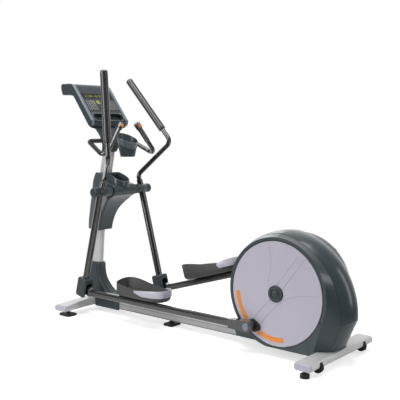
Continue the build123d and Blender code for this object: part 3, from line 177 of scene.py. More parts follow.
class EffectGroups:
    """Shader node groups that change a colour, a roughness and a height over the surface."""

    BROAD_SCALE = 6.0
    BROAD_DETAIL = 3.0
    GRAIN_DETAIL = 4.0
    GRAIN_STRETCH = (1.0, 0.03, 1.0)
    DUST = "settled_dust"
    DUST_COLOUR = (196, 194, 190)
    DUST_SCALE = 40.0

    @classmethod
    def get(cls, texture: Texture) -> Tree:
        """One surface effect, built on first use."""
        tree = bpy.data.node_groups.get(texture.value)
        return tree if tree else cls._surface(texture)

    @classmethod
    def _surface(cls, texture: Texture) -> Tree:
        """Builds one surface effect.

        Args:
            texture: the effect to build.

        Returns:
            The new node group.
        """
        tree = bpy.data.node_groups.new(texture.value, "ShaderNodeTree")
        add_sockets(tree, "INPUT", "NodeSocketColor", "Color")
        add_sockets(tree, "INPUT", "NodeSocketFloat", "Tint Spread", "Roughness", "Roughness Spread", "Scale")
        add_sockets(tree, "OUTPUT", "NodeSocketColor", "Color")
        add_sockets(tree, "OUTPUT", "NodeSocketFloat", "Roughness", "Height")
        given = tree.nodes.new("NodeGroupInput").outputs
        place = tree.nodes.new("ShaderNodeTexCoord").outputs["Object"]
        broad_inputs = {"Vector": place, "Scale": cls.BROAD_SCALE, "Detail": cls.BROAD_DETAIL}
        broad = add_node(tree, "ShaderNodeTexNoise", broad_inputs)
        grain = cls._grain(tree, texture, place, given["Scale"])
        mixed = combine(tree, "ADD", broad.outputs["Fac"], grain)
        drift = combine(tree, "SUBTRACT", mixed, 1.0)
        gain = combine(tree, "ADD", combine(tree, "MULTIPLY", drift, given["Tint Spread"]), 1.0)
        tint = add_node(tree, "ShaderNodeVectorMath", {0: given["Color"], "Scale": gain}, operation="SCALE")
        uneven = combine(tree, "MULTIPLY", drift, given["Roughness Spread"])
        rough = combine(tree, "ADD", uneven, given["Roughness"])
        results = {"Color": tint.outputs[0], "Roughness": rough, "Height": grain}
        add_node(tree, "NodeGroupOutput", results)
        return tree

    @classmethod
    def _grain(cls, tree: Tree, texture: Texture, place: Socket, scale: Socket) -> Socket:
        """The fine pattern of one surface effect.

        Args:
            tree: the group that takes the nodes.
            texture: which pattern.
            place: the coordinates to read.
            scale: how fine the pattern is.

        Returns:
            A value from 0 to 1.
        """
        if texture in (Texture.FOAM, Texture.FLAKE, Texture.STIPPLE):
            flake = texture is Texture.FLAKE
            feature = "F1" if flake else "SMOOTH_F1"
            cells = add_node(tree, "ShaderNodeTexVoronoi", {"Vector": place, "Scale": scale}, feature=feature)
            return cells.outputs["Color" if flake else "Distance"]
        if texture is Texture.BRUSHED:
            stretch = {"Vector": place, "Scale": cls.GRAIN_STRETCH}
            place = add_node(tree, "ShaderNodeMapping", stretch).outputs[0]
        inputs = {"Vector": place, "Scale": scale, "Detail": cls.GRAIN_DETAIL}
        return add_node(tree, "ShaderNodeTexNoise", inputs).outputs["Fac"]

    @classmethod
    def dust(cls) -> Tree:
        """Fine dust on faces that look up.

        Returns:
            The node group, with a colour and an amount in and a colour out.
        """
        tree = bpy.data.node_groups.get(cls.DUST)
        if tree:
            return tree
        tree = bpy.data.node_groups.new(cls.DUST, "ShaderNodeTree")
        add_sockets(tree, "INPUT", "NodeSocketColor", "Color")
        add_sockets(tree, "INPUT", "NodeSocketFloat", "Amount")
        add_sockets(tree, "OUTPUT", "NodeSocketColor", "Color")
        given = tree.nodes.new("NodeGroupInput").outputs
        normal = tree.nodes.new("ShaderNodeNewGeometry").outputs["Normal"]
        height = add_node(tree, "ShaderNodeSeparateXYZ", {0: normal}).outputs["Z"]
        place = tree.nodes.new("ShaderNodeTexCoord").outputs["Object"]
        patches = add_node(tree, "ShaderNodeTexNoise", {"Vector": place, "Scale": cls.DUST_SCALE})
        upward = combine(tree, "MAXIMUM", height, 0.0)
        patchy = combine(tree, "MULTIPLY", upward, patches.outputs["Fac"])
        share = combine(tree, "MULTIPLY", patchy, given["Amount"])
        layers = {"Factor": share, "A": given["Color"], "B": linear(cls.DUST_COLOUR)}
        mix = add_node(tree, "ShaderNodeMix", layers, data_type="RGBA")
        add_node(tree, "NodeGroupOutput", {"Color": mix.outputs["Result"]})
        return tree


@dataclass(frozen=True)
class Finish:
    """One finish: a colour, a gloss and a surface effect."""

    name: str
    slot: str
    rgb: Colour
    roughness: float
    texture: Texture = Texture.MOULDED
    metallic: float = 0.0
    coat: float = 0.0
    coat_roughness: float = 0.08
    specular: float = 0.5
    scale: float = 700.0
    relief: float = 0.00005
    relief_strength: float = 0.35
    tint_spread: float = 0.1
    roughness_spread: float = 0.1
    dust: float = 0.0
    glow: float = 0.0

    def material(self) -> bpy.types.Material:
        """The finish as a material, built on first use.

        Returns:
            The material.
        """
        made = bpy.data.materials.get(self.name)
        if made:
            return made
        made = bpy.data.materials.new(self.name)
        made.use_nodes = True
        tree = made.node_tree
        shader = tree.nodes["Principled BSDF"]
        surface = {
            "Color": linear(self.rgb),
            "Tint Spread": self.tint_spread,
            "Roughness": self.roughness,
            "Roughness Spread": self.roughness_spread,
            "Scale": self.scale,
        }
        effect = add_node(tree, "ShaderNodeGroup", surface, node_tree=EffectGroups.get(self.texture)).outputs
        colour = effect["Color"]
        if self.dust:
            layer = {"Color": colour, "Amount": self.dust}
            colour = add_node(tree, "ShaderNodeGroup", layer, node_tree=EffectGroups.dust()).outputs["Color"]
        relief = {"Strength": self.relief_strength, "Distance": self.relief, "Height": effect["Height"]}
        look = {
            "Base Color": colour,
            "Roughness": effect["Roughness"],
            "Metallic": self.metallic,
            "Coat Weight": self.coat,
            "Coat Roughness": self.coat_roughness,
            "Specular IOR Level": self.specular,
            "Normal": add_node(tree, "ShaderNodeBump", relief).outputs["Normal"],
        }
        fill(tree, shader, look)
        if self.glow:
            fill(tree, shader, {"Emission Color": colour, "Emission Strength": self.glow})
        return made


SLATE_GLOSS = Finish(
    "slate_gloss", "slate_plastic", (54, 65, 70), 0.32, coat=0.4, coat_roughness=0.16, specular=0.35,
    dust=0.02,
)
SLATE_SATIN = Finish(
    "slate_satin", "slate_plastic", (52, 61, 66), 0.38, coat=0.2, coat_roughness=0.22, specular=0.3, dust=0.02
)
SLATE_DARK = Finish("slate_dark", "slate_plastic", (42, 50, 55), 0.45, dust=0.03)
# Paler slate: a painted highlight along the console shell's edges, on its tray rim and on the strip under its
# panel.
SLATE_PAINTED_HIGHLIGHT = Finish("band_slate", "slate_plastic", (112, 125, 132), 0.28, coat=0.4, coat_roughness=0.12)
CUP_SLATE = replace(SLATE_PAINTED_HIGHLIGHT, name="cup_slate", rgb=(86, 97, 103), roughness=0.3)
# Dark slate for seams and joints, and also painted shade: the ring in the gap round each disc and the
# console's vent slots.
SEAM_DARK_AND_SHADE = Finish("seam_dark", "slate_plastic", (30, 35, 39), 0.6)
LAVENDER = Finish(
    "lavender_silver", "lavender_plastic", (178, 175, 188), 0.38, Texture.FLAKE, coat=0.3, scale=1800.0,
    relief=0.00001, tint_spread=0.04,
)
# Darker lavender for the disc's lines: painted shade along its grooves.
LAVENDER_GROOVE_SHADE = Finish("lavender_groove", "lavender_plastic", (150, 146, 158), 0.55)
GUARD_SILVER = replace(
    LAVENDER, name="guard_silver", slot="silver_plastic", rgb=(178, 178, 188), roughness=0.36
)
FRAME_SILVER = Finish(
    "frame_silver", "silver_frame", (206, 206, 207), 0.34, Texture.FLAKE, metallic=0.25, coat=0.4,
    scale=2200.0, relief=0.00001, tint_spread=0.05,
)
# Darker silver for the rail itself: painted shade on its sides, under paler strips that paint its lit top.
RAIL_SILVER_SHADED = replace(FRAME_SILVER, name="rail_silver", rgb=(174, 174, 175), roughness=0.36, coat=0.3)
# Dark lines on the rail's sides: painted shade in its grooves.
RAIL_GROOVE_SHADE = Finish("rail_line", "silver_frame", (84, 85, 87), 0.5)
BLACK_GLOSS = Finish(
    "black_gloss", "black_metal", (18, 18, 18), 0.24, coat=1.0, coat_roughness=0.1, specular=0.8,
    relief=0.00002,
)
BLACK_SATIN = Finish("black_satin", "black_plastic", (26, 26, 28), 0.45)
FOAM_BLACK = Finish(
    "foam_black", "grip_rubber", (22, 22, 22), 0.4, Texture.FOAM, coat=0.8, coat_roughness=0.26, scale=900.0,
    relief=0.00006,
)
RUBBER_BLACK = Finish(
    "rubber_black", "black_rubber", (22, 22, 22), 0.62, Texture.STIPPLE, scale=1100.0, relief=0.00015,
    dust=0.1,
)
# Near-black tray lining with a green tint that is a painted reflection.
TRAY_DARK_REFLECTION = Finish(
    "tray_dark", "black_rubber", (20, 38, 33), 0.5, Texture.STIPPLE, scale=900.0, relief=0.0001
)
PEDAL_GREY = Finish(
    "pedal_grey", "pedal_plastic", (66, 66, 67), 0.5, Texture.STIPPLE, scale=800.0, relief=0.00012, dust=0.05
)
PEDAL_MAT = Finish(
    "pedal_mat", "pedal_plastic", (46, 46, 47), 0.65, Texture.STIPPLE, scale=900.0, relief=0.00015, dust=0.06
)
ORANGE = Finish("accent_orange", "orange_plastic", (222, 132, 38), 0.38, coat=0.3)
STEEL = Finish(
    "turned_steel", "steel", (170, 172, 176), 0.3, Texture.BRUSHED, metallic=0.9, scale=420.0, relief=0.00002
)
CAP_GREY = Finish("cap_grey", "steel", (110, 120, 130), 0.3, coat=0.4)
BRONZE = Finish("bush_bronze", "bronze", (176, 132, 74), 0.4, Texture.BRUSHED, metallic=0.9, scale=420.0)
CHROME = Finish(
    "sensor_steel", "chrome", (104, 104, 108), 0.28, Texture.BRUSHED, metallic=0.95, scale=500.0,
    relief=0.00001,
)
ALLOY = replace(BRONZE, name="pulley_alloy", slot="pulley_metal", rgb=(168, 168, 170), roughness=0.36)
IRON = replace(
    BRONZE, name="flywheel_iron", slot="flywheel_iron", rgb=(74, 74, 76), roughness=0.45, metallic=0.7
)
DISPLAY = Finish(
    "display_black", "display", (12, 14, 13), 0.22, coat=0.2, coat_roughness=0.05, specular=0.3, relief=0.0
)
READOUT = Finish("readout_green", "display", (152, 160, 88), 0.5, glow=0.2)
PANEL_GREY = Finish("panel_grey", "black_plastic", (42, 48, 47), 0.36, coat=0.25)
PANEL_DARK = Finish("panel_dark", "black_plastic", (30, 35, 34), 0.36, coat=0.3)
FIELD_GREY = Finish("field_grey", "black_plastic", (88, 91, 90), 0.4, coat=0.2)
KEY_WHITE = Finish("key_white", "silver_plastic", (158, 161, 158), 0.42)
KEY_GREEN = Finish("key_green", "silver_plastic", (140, 150, 82), 0.42)

SLOT_FINISH = {
    finish.slot: finish
    for finish in (
        FRAME_SILVER, LAVENDER, SLATE_SATIN, BLACK_SATIN, BLACK_GLOSS, FOAM_BLACK, RUBBER_BLACK, PEDAL_GREY,
        GUARD_SILVER, ORANGE, STEEL, BRONZE, CHROME, DISPLAY, ALLOY, IRON,
    )
}
NODE_FINISH = {
    "housing_left": SLATE_GLOSS,
    "housing_right": SLATE_GLOSS,
    "housing_band": SLATE_GLOSS,
    "shroud_left": SLATE_GLOSS,
    "shroud_right": SLATE_GLOSS,
    "console_face": PANEL_GREY,
    "left_crank_pin": CAP_GREY,
    "right_crank_pin": CAP_GREY,
    "crank_arms": BLACK_SATIN,
    "hub_caps": SLATE_DARK,
    # The rail's darker silver is painted shade on its sides.
    "base_rail": RAIL_SILVER_SHADED,
    "storage_tray": SLATE_SATIN,
}


def arc_through(first: Pair, middle: Pair, last: Pair, count: int, grow: float = 0.0) -> list[Pair]:
    """Points on the circle through three points.

    Args:
        first: where the arc starts.
        middle: a point that the arc passes.
        last: where the arc ends.
        count: how many steps it has.
        grow: how much larger the arc's radius is.

    Returns:
        The points from first to last.
    """
    (ax, ay), (bx, by), (cx, cy) = first, middle, last
    twice = 2 * (ax * (by - cy) + bx * (cy - ay) + cx * (ay - by))
    a2, b2, c2 = ax**2 + ay**2, bx**2 + by**2, cx**2 + cy**2
    ox = (a2 * (by - cy) + b2 * (cy - ay) + c2 * (ay - by)) / twice
    oy = (a2 * (cx - bx) + b2 * (ax - cx) + c2 * (bx - ax)) / twice
    start, through, stop = (math.atan2(y - oy, x - ox) for x, y in (first, middle, last))
    sweep = (stop - start) % math.tau
    if (through - start) % math.tau > sweep:
        sweep -= math.tau
    turns = [start + sweep * step / count for step in range(count + 1)]
    reach = math.hypot(ax - ox, ay - oy) + grow
    return [(ox + reach * math.cos(turn), oy + reach * math.sin(turn)) for turn in turns]


def smooth_through(points: Sequence[Vector], steps: int) -> list[Vector]:
    """A smooth curve through points.

    Args:
        points: the points to pass.
        steps: how many steps lie between two of them.

    Returns:
        The points of the curve.
    """
    ends = [points[0] * 2 - points[1], *points, points[-1] * 2 - points[-2]]
    curve = []
    for before, start, stop, after in zip(ends, ends[1:], ends[2:], ends[3:]):
        square = 2 * before - 5 * start + 4 * stop - after
        cube = 3 * start - before - 3 * stop + after
        for step in range(steps):
            t = step / steps
            curve.append(0.5 * (2 * start + (stop - before) * t + square * t**2 + cube * t**3))
    curve.append(points[-1].copy())
    return curve


def rounded_rectangle(low: Pair, high: Pair, corner: float, steps: int) -> list[Pair]:
    """The outline of a rectangle with rounded corners.

    Args:
        low: its lower left corner.
        high: its upper right corner.
        corner: the radius of its corners.
        steps: how many steps each corner has.

    Returns:
        The outline's points.
    """
    left, right = low[0] + corner, high[0] - corner
    bottom, top = low[1] + corner, high[1] - corner
    outline = []
    for quarter, (x, y) in enumerate(((right, top), (left, top), (left, bottom), (right, bottom))):
        for step in range(steps + 1):
            turn = math.pi / 2 * (quarter + step / steps)
            outline.append((x + corner * math.cos(turn), y + corner * math.sin(turn)))
    return outline


def support(node: str, direction: Vector) -> float:
    """How far a CAD node reaches along a unit vector."""
    return max(point.co.dot(direction) for point in FRAME["nodes"][node].data.vertices)


def joint_place(name: str) -> Vector:
    """Where a joint's axis passes, in metres."""
    places = {joint["name"]: joint.get("pos_m") for joint in FRAME["record"]["behaviour"]["joints"]}
    return Vector(places[name])


class Shape:
    """Builds plain meshes."""

    MERGE = 1e-6

    @classmethod
    def mesh(cls, form: Form) -> bpy.types.Mesh:
        """A mesh with its doubles merged and its faces turned outwards.

        Args:
            form: points and faces.

        Returns:
            The mesh.
        """
        mesh = bpy.data.meshes.new("shape")
        mesh.from_pydata([tuple(point) for point in form[0]], [], [tuple(face) for face in form[1]])
        work = bmesh.new()
        work.from_mesh(mesh)
        bmesh.ops.remove_doubles(work, verts=work.verts, dist=cls.MERGE)
        bmesh.ops.recalc_face_normals(work, faces=work.faces)
        work.to_mesh(mesh)
        work.free()
        return mesh

    @staticmethod
    def loft(rings: Sequence[Sequence[Vector]], closed: bool = False) -> Form:
        """A skin over rings of the same count.

        Args:
            rings: the rings in order.
            closed: whether the last ring meets the first.

        Returns:
            Points and faces, with flat ends unless it is closed.
        """
        count = len(rings[0])
        points = [point for ring in rings for point in ring]
        faces = []
        for row in range(len(rings) if closed else len(rings) - 1):
            here, there = row * count, (row + 1) % len(rings) * count
            for step in range(count):
                after = (step + 1) % count
                faces.append([here + step, here + after, there + after, there + step])
        if not closed:
            faces.append(list(range(count))[::-1])
            faces.append([len(points) - count + step for step in range(count)])
        return points, faces

    @classmethod
    def lathe(
        cls, profile: Sequence[Pair], origin: Vector, axis: Vector, segments: int, closed: bool = False
    ) -> Form:
        """A turned shape.

        Args:
            profile: radius and height of each ring.
            origin: where the axis starts.
            axis: the unit vector of the axis.
            segments: how many sides it has.
            closed: whether the profile is a loop.

        Returns:
            Points and faces.
        """
        across = axis.orthogonal().normalized()
        other = axis.cross(across)
        spokes = [across * math.cos(turn) + other * math.sin(turn) for turn in full_turns(segments)]
        rings = [[origin + axis * height + spoke * radius for spoke in spokes] for radius, height in profile]
        return cls.loft(rings, closed)

    @classmethod
    def plate(cls, outline: Sequence[Vector], height: Vector) -> Form:
        """A flat plate on an outline, as thick as a vector."""
        return cls.loft([list(outline), [point + height for point in outline]])


class Piece:
    """Makes finished pieces: a mesh in its place, with its finish, on its body."""

    SHARP = math.radians(38)

    @classmethod
    def from_mesh(cls, name: str, mesh: bpy.types.Mesh, finish: Finish, body: str) -> bpy.types.Object:
        """Dresses a mesh and hangs it on its body.

        Args:
            name: the piece's name.
            mesh: its mesh, already in place.
            finish: its finish.
            body: the CAD body that carries it.

        Returns:
            The finished piece.
        """
        mesh.name = name
        mesh.materials.clear()
        mesh.materials.append(finish.material())
        mesh.shade_smooth()
        mesh.set_sharp_from_angle(angle=cls.SHARP)
        piece = bpy.data.objects.new(name, mesh)
        bpy.context.scene.collection.objects.link(piece)
        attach(piece, body)
        LOG.info("%s: %d faces on %s", name, len(mesh.polygons), body)
        return piece

    @classmethod
    def make(cls, name: str, form: Form, finish: Finish, body: str) -> bpy.types.Object:
        """Turns points and faces into a finished piece on its body."""
        return cls.from_mesh(name, Shape.mesh(form), finish, body)


class Repeat(Enum):
    """The Geometry Nodes trees that make what repeats or follows a path."""

    SCATTER = "scatter_on_points"
    BEAD = "bead_along_path"


class NodeForms:
    """Runs Geometry Nodes trees and turns their results into plain meshes."""

    AXIS = "axis"
    FULL_SIZE = 1.0
    BEAD_SIDES = 8

    @staticmethod
    def _tree(kind: Repeat, sockets: dict[str, str]) -> Tree:
        """An empty tree with its inputs.

        Args:
            kind: which tree.
            sockets: the type of each input after the geometry, by name.

        Returns:
            The tree.
        """
        tree = bpy.data.node_groups.new(kind.value, "GeometryNodeTree")
        add_sockets(tree, "INPUT", "NodeSocketGeometry", "Geometry")
        for name, socket in sockets.items():
            add_sockets(tree, "INPUT", socket, name)
        add_sockets(tree, "INPUT", "NodeSocketMaterial", "Material")
        add_sockets(tree, "OUTPUT", "NodeSocketGeometry", "Geometry")
        return tree

    @staticmethod
    def _close(tree: Tree, shape: Socket, material: Socket) -> None:
        """Ends a tree in Realize Instances and Set Material.

        Args:
            tree: the tree to end.
            shape: the geometry so far.
            material: the material input.
        """
        real = add_node(tree, "GeometryNodeRealizeInstances", {"Geometry": shape}).outputs["Geometry"]
        dress = add_node(tree, "GeometryNodeSetMaterial", {"Geometry": real, "Material": material})
        add_node(tree, "NodeGroupOutput", {"Geometry": dress.outputs["Geometry"]})

    @classmethod
    def _scatter_tree(cls) -> Tree:
        """The tree that stands one shape on every point, turned to the point's axis.

        Returns:
            The tree, built on first use.
        """
        tree = bpy.data.node_groups.get(Repeat.SCATTER.value)
        if tree:
            return tree
        tree = cls._tree(Repeat.SCATTER, {"Prototype": "NodeSocketObject", "Size": "NodeSocketFloat"})
        given = tree.nodes.new("NodeGroupInput").outputs
        info = add_node(tree, "GeometryNodeObjectInfo", {"Object": given["Prototype"]})
        name = {"Name": cls.AXIS}
        named = add_node(tree, "GeometryNodeInputNamedAttribute", name, data_type="FLOAT_VECTOR")
        along = {"Vector": named.outputs["Attribute"]}
        turn = add_node(tree, "FunctionNodeAlignRotationToVector", along, axis="Z")
        copies = {
            "Points": given["Geometry"],
            "Instance": info.outputs["Geometry"],
            "Rotation": turn.outputs["Rotation"],
            "Scale": given["Size"],
        }
        stand = add_node(tree, "GeometryNodeInstanceOnPoints", copies)
        cls._close(tree, stand.outputs["Instances"], given["Material"])
        return tree

    @classmethod
    def _bead_tree(cls) -> Tree:
        """The tree that runs a round bead along the edges of a path.

        Returns:
            The tree, built on first use.
        """
        tree = bpy.data.node_groups.get(Repeat.BEAD.value)
        if tree:
            return tree
        tree = cls._tree(Repeat.BEAD, {"Radius": "NodeSocketFloat"})
        given = tree.nodes.new("NodeGroupInput").outputs
        path = add_node(tree, "GeometryNodeMeshToCurve", {"Mesh": given["Geometry"]})
        section = {"Resolution": cls.BEAD_SIDES, "Radius": given["Radius"]}
        circle = add_node(tree, "GeometryNodeCurvePrimitiveCircle", section)
        run = {"Curve": path.outputs["Curve"], "Profile Curve": circle.outputs["Curve"], "Fill Caps": True}
        sweep = add_node(tree, "GeometryNodeCurveToMesh", run)
        cls._close(tree, sweep.outputs["Mesh"], given["Material"])
        return tree

    @staticmethod
    def _bake(mesh: bpy.types.Mesh, tree: Tree, values: dict[str, object]) -> bpy.types.Mesh:
        """Evaluates a tree on a mesh.

        Args:
            mesh: the mesh that goes in, which is used up.
            tree: the tree.
            values: its inputs by name.

        Returns:
            The result as a plain mesh.
        """
        carrier = bpy.data.objects.new("carrier", mesh)
        bpy.context.scene.collection.objects.link(carrier)
        modifier = carrier.modifiers.new("nodes", "NODES")
        modifier.node_group = tree
        for item in tree.interface.items_tree:
            if item.in_out == "INPUT" and item.name in values:
                modifier[item.identifier] = values[item.name]
        bpy.context.view_layer.update()
        seen = carrier.evaluated_get(bpy.context.evaluated_depsgraph_get())
        result = bpy.data.meshes.new_from_object(seen)
        carrier.modifiers.clear()
        bpy.data.objects.remove(carrier)
        bpy.data.meshes.remove(mesh)
        return result

    @classmethod
    def scatter(
        cls, name: str, places: Sequence[tuple[Vector, Vector]], prototype: Form, finish: Finish, body: str
    ) -> bpy.types.Object:
        """One piece made of a shape repeated over places.

        Args:
            name: the piece's name.
            places: point and axis of each copy.
            prototype: points and faces of the shape, standing on +Z.
            finish: the finish.
            body: the body that carries it.

        Returns:
            The finished piece.
        """
        spots = bpy.data.meshes.new("spots")
        spots.from_pydata([tuple(point) for point, _ in places], [], [])
        axes = spots.attributes.new(cls.AXIS, "FLOAT_VECTOR", "POINT")
        for spot, (_, axis) in zip(axes.data, places):
            spot.vector = axis
        shape = Shape.mesh(prototype)
        model = bpy.data.objects.new("prototype", shape)
        bpy.context.scene.collection.objects.link(model)
        values = {"Prototype": model, "Size": cls.FULL_SIZE, "Material": finish.material()}
        mesh = cls._bake(spots, cls._scatter_tree(), values)
        bpy.data.objects.remove(model)
        bpy.data.meshes.remove(shape)
        return Piece.from_mesh(name, mesh, finish, body)

    @classmethod
    def bead(
        cls, name: str, paths: Sequence[Sequence[Vector]], radius: float, finish: Finish, body: str
    ) -> bpy.types.Object:
        """One piece made of round beads along paths.

        Args:
            name: the piece's name.
            paths: the points of each path.
            radius: the bead's radius.
            finish: the finish.
            body: the body that carries it.

        Returns:
            The finished piece.
        """
        points = [tuple(point) for path in paths for point in path]
        edges, start = [], 0
        for path in paths:
            edges += [(start + step, start + step + 1) for step in range(len(path) - 1)]
            start += len(path)
        route = bpy.data.meshes.new("route")
        route.from_pydata(points, edges, [])
        mesh = cls._bake(route, cls._bead_tree(), {"Radius": radius, "Material": finish.material()})
        return Piece.from_mesh(name, mesh, finish, body)


SCREW_PROFILE = ((1, -0.2), (1, 0.35), (0.8, 0.85), (0.5, 1), (0.45, 1), (0.42, 0.45), (0.01, 0.4))
SCREW_SIDES = 18


def screw_head(radius: float, height: float) -> Form:
    """A domed screw head with a round socket, standing on +Z and sunk a little below its point."""
    profile = [(wide * radius, up * height) for wide, up in SCREW_PROFILE]
    return Shape.lathe(profile, Vector(), UP, SCREW_SIDES)


@dataclass
class DriveUnit:
    """The drive housing with the crank discs on its sides. Profiles and disc lines are in millimetres."""

    screw_circle: float = 317 * MM
    screw_angles: tuple[float, ...] = (103.0, -23.0, -70.0)
    screw_size: Pair = (5 * MM, 2 * MM)
    seam_y: float = 92 * MM
    crown_radius: float = 342 * MM
    seam_back: Pair = (302 * MM, 535 * MM)
    seam_waist: Pair = (388 * MM, 240 * MM)
    seam_foot: float = 294 * MM
    housing_bottom: float = 57 * MM
    line_radius: float = 0.9 * MM
    line_steps: int = 8
    seam_radius: float = 1.2 * MM
    rim_inset: float = 1.5 * MM
    rim_steps: int = 144
    ring_sides: int = 64
    plug_sides: int = 48
    crown_steps: int = 48
    back_steps: int = 32
    seal_profile: tuple[Pair, ...] = ((6.8, -0.4), (6.8, 0.5), (2, 0.5), (2, -2), (3.4, -2), (3.4, -0.4))
    ring_profile: tuple[Pair, ...] = ((34, -0.5), (34, 1.2), (32.5, 2), (30.5, 2), (29, 1.2), (29, -0.5))
    plug_profile: tuple[Pair, ...] = ((20, -0.5), (20, 1.5), (17, 3), (10, 4), (0.1, 4.4))
    disc_lines: tuple[tuple[Pair, ...], ...] = (
        ((-51, 285), (-36, 201), (-36, 150), (-52, 66)),
        ((4, 50), (70, 135), (150, 239)),
        ((43, 30), (115, 124), (196, 226)),
        ((-36, -34), (-95, -98), (-165, -178)),
        ((-100, -191), (-53, -129), (20, -58), (102, -10), (172, 11), (292, 24)),
    )

    def __post_init__(self) -> None:
        """Reads the crank axis and the disc's face from the frame."""
        low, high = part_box("crank_axle")
        self.centre = (Vector(low) + Vector(high)) / 2
        low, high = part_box("left_disc")
        self.face_y = max(abs(low[1]), abs(high[1]))
        self.disc_radius = (high[0] - low[0]) / 2

    def build(self) -> None:
        """Makes the disc's lines and rim, the dark rings of painted shade in the gaps round the discs, the
        hub rings, the seams and the screws.
        """
        self._disc_lines()
        self._seals()
        self._hub_rings()
        self._seams()
        self._screws()

    def _on_disc(self, side: Side, x: float, z: float) -> Vector:
        """A point on a disc's outer face, given on the left disc as seen."""
        turn = 1 if side is Side.LEFT else -1
        return Vector((self.centre.x + turn * x, side.value * self.face_y, self.centre.z + turn * z))

    def _disc_lines(self) -> None:
        """Darker lines that radiate from the hub, painted shade along the disc's grooves, and the rolled rim.
        """
        grooves, rims = [], []
        rim = self.disc_radius - self.rim_inset
        turns = full_turns(self.rim_steps, last=True)
        for side in Side:
            for line in self.disc_lines:
                points = [self._on_disc(side, x, z) for x, z in in_mm(line)]
                grooves.append(smooth_through(points, self.line_steps))
            rims.append([self._on_disc(side, rim * math.cos(turn), rim * math.sin(turn)) for turn in turns])
        # The darker lines are painted shade along the disc's grooves.
        NodeForms.bead("disc_grooves", grooves, self.line_radius, LAVENDER_GROOVE_SHADE, "crank")
        NodeForms.bead("disc_rims", rims, self.seam_radius, LAVENDER, "crank")

    def _seals(self) -> None:
        """A thin dark ring round each disc, on the edge of the housing's opening: painted shade in the gap
        between disc and housing.
        """
        profile = [(self.disc_radius + out, up) for out, up in in_mm(self.seal_profile)]
        for side in Side:
            origin = Vector((self.centre.x, side.value * self.face_y, self.centre.z))
            form = Shape.lathe(profile, origin, side.axis, self.rim_steps, closed=True)
            # The dark ring is painted shade in the gap round the disc.
            Piece.make(f"{side.word}_disc_seal", form, SEAM_DARK_AND_SHADE, "frame")

    def _hub_rings(self) -> None:
        """A raised ring and a domed plug on each hub cap."""
        for side in Side:
            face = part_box("hub_caps")[0 if side is Side.LEFT else 1][1]
            origin = Vector((self.centre.x, face, self.centre.z))
            ring = Shape.lathe(in_mm(self.ring_profile), origin, side.axis, self.ring_sides, closed=True)
            Piece.make(f"{side.word}_hub_ring", ring, SLATE_SATIN, "crank")
            plug = Shape.lathe(in_mm(self.plug_profile), origin, side.axis, self.plug_sides)
            Piece.make(f"{side.word}_hub_plug", plug, SLATE_DARK, "crank")

    def _seams(self) -> None:
        """The dark joint between the side shells and the band over the top."""
        axle_z, radius = self.centre.z, self.crown_radius
        drop = self.housing_bottom - axle_z
        start = (-math.sqrt(radius**2 - drop**2), drop)
        back = (self.seam_back[0], self.seam_back[1] - axle_z)
        waist = (self.seam_waist[0], self.seam_waist[1] - axle_z)
        share = (self.seam_waist[1] - self.housing_bottom) / self.seam_waist[1]
        line = arc_through(start, (-radius, 0.0), (0.0, radius), self.crown_steps)
        line += arc_through((0.0, radius), back, waist, self.back_steps)[1:]
        line.append((waist[0] + (self.seam_foot - waist[0]) * share, drop))
        paths = []
        for side in Side:
            y = side.value * self.seam_y
            paths.append([Vector((self.centre.x + x, y, axle_z + z)) for x, z in line])
        NodeForms.bead("housing_seams", paths, self.seam_radius, SEAM_DARK_AND_SHADE, "frame")

    def _screws(self) -> None:
        """Socket screws on the ring of each side."""
        places = []
        for side in Side:
            for angle in self.screw_angles:
                turn = math.radians(angle)
                spot = in_plane(math.cos(turn), math.sin(turn)) * self.screw_circle
                spot += Vector((self.centre.x, side.value * self.face_y, self.centre.z))
                places.append((spot, side.axis))
        head = screw_head(*self.screw_size)
        screws = NodeForms.scatter("housing_screw_heads", places, head, BLACK_SATIN, "frame")
        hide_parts("housing_screws")


PadRow = tuple[str, Pair, Pair, float, Finish, float]


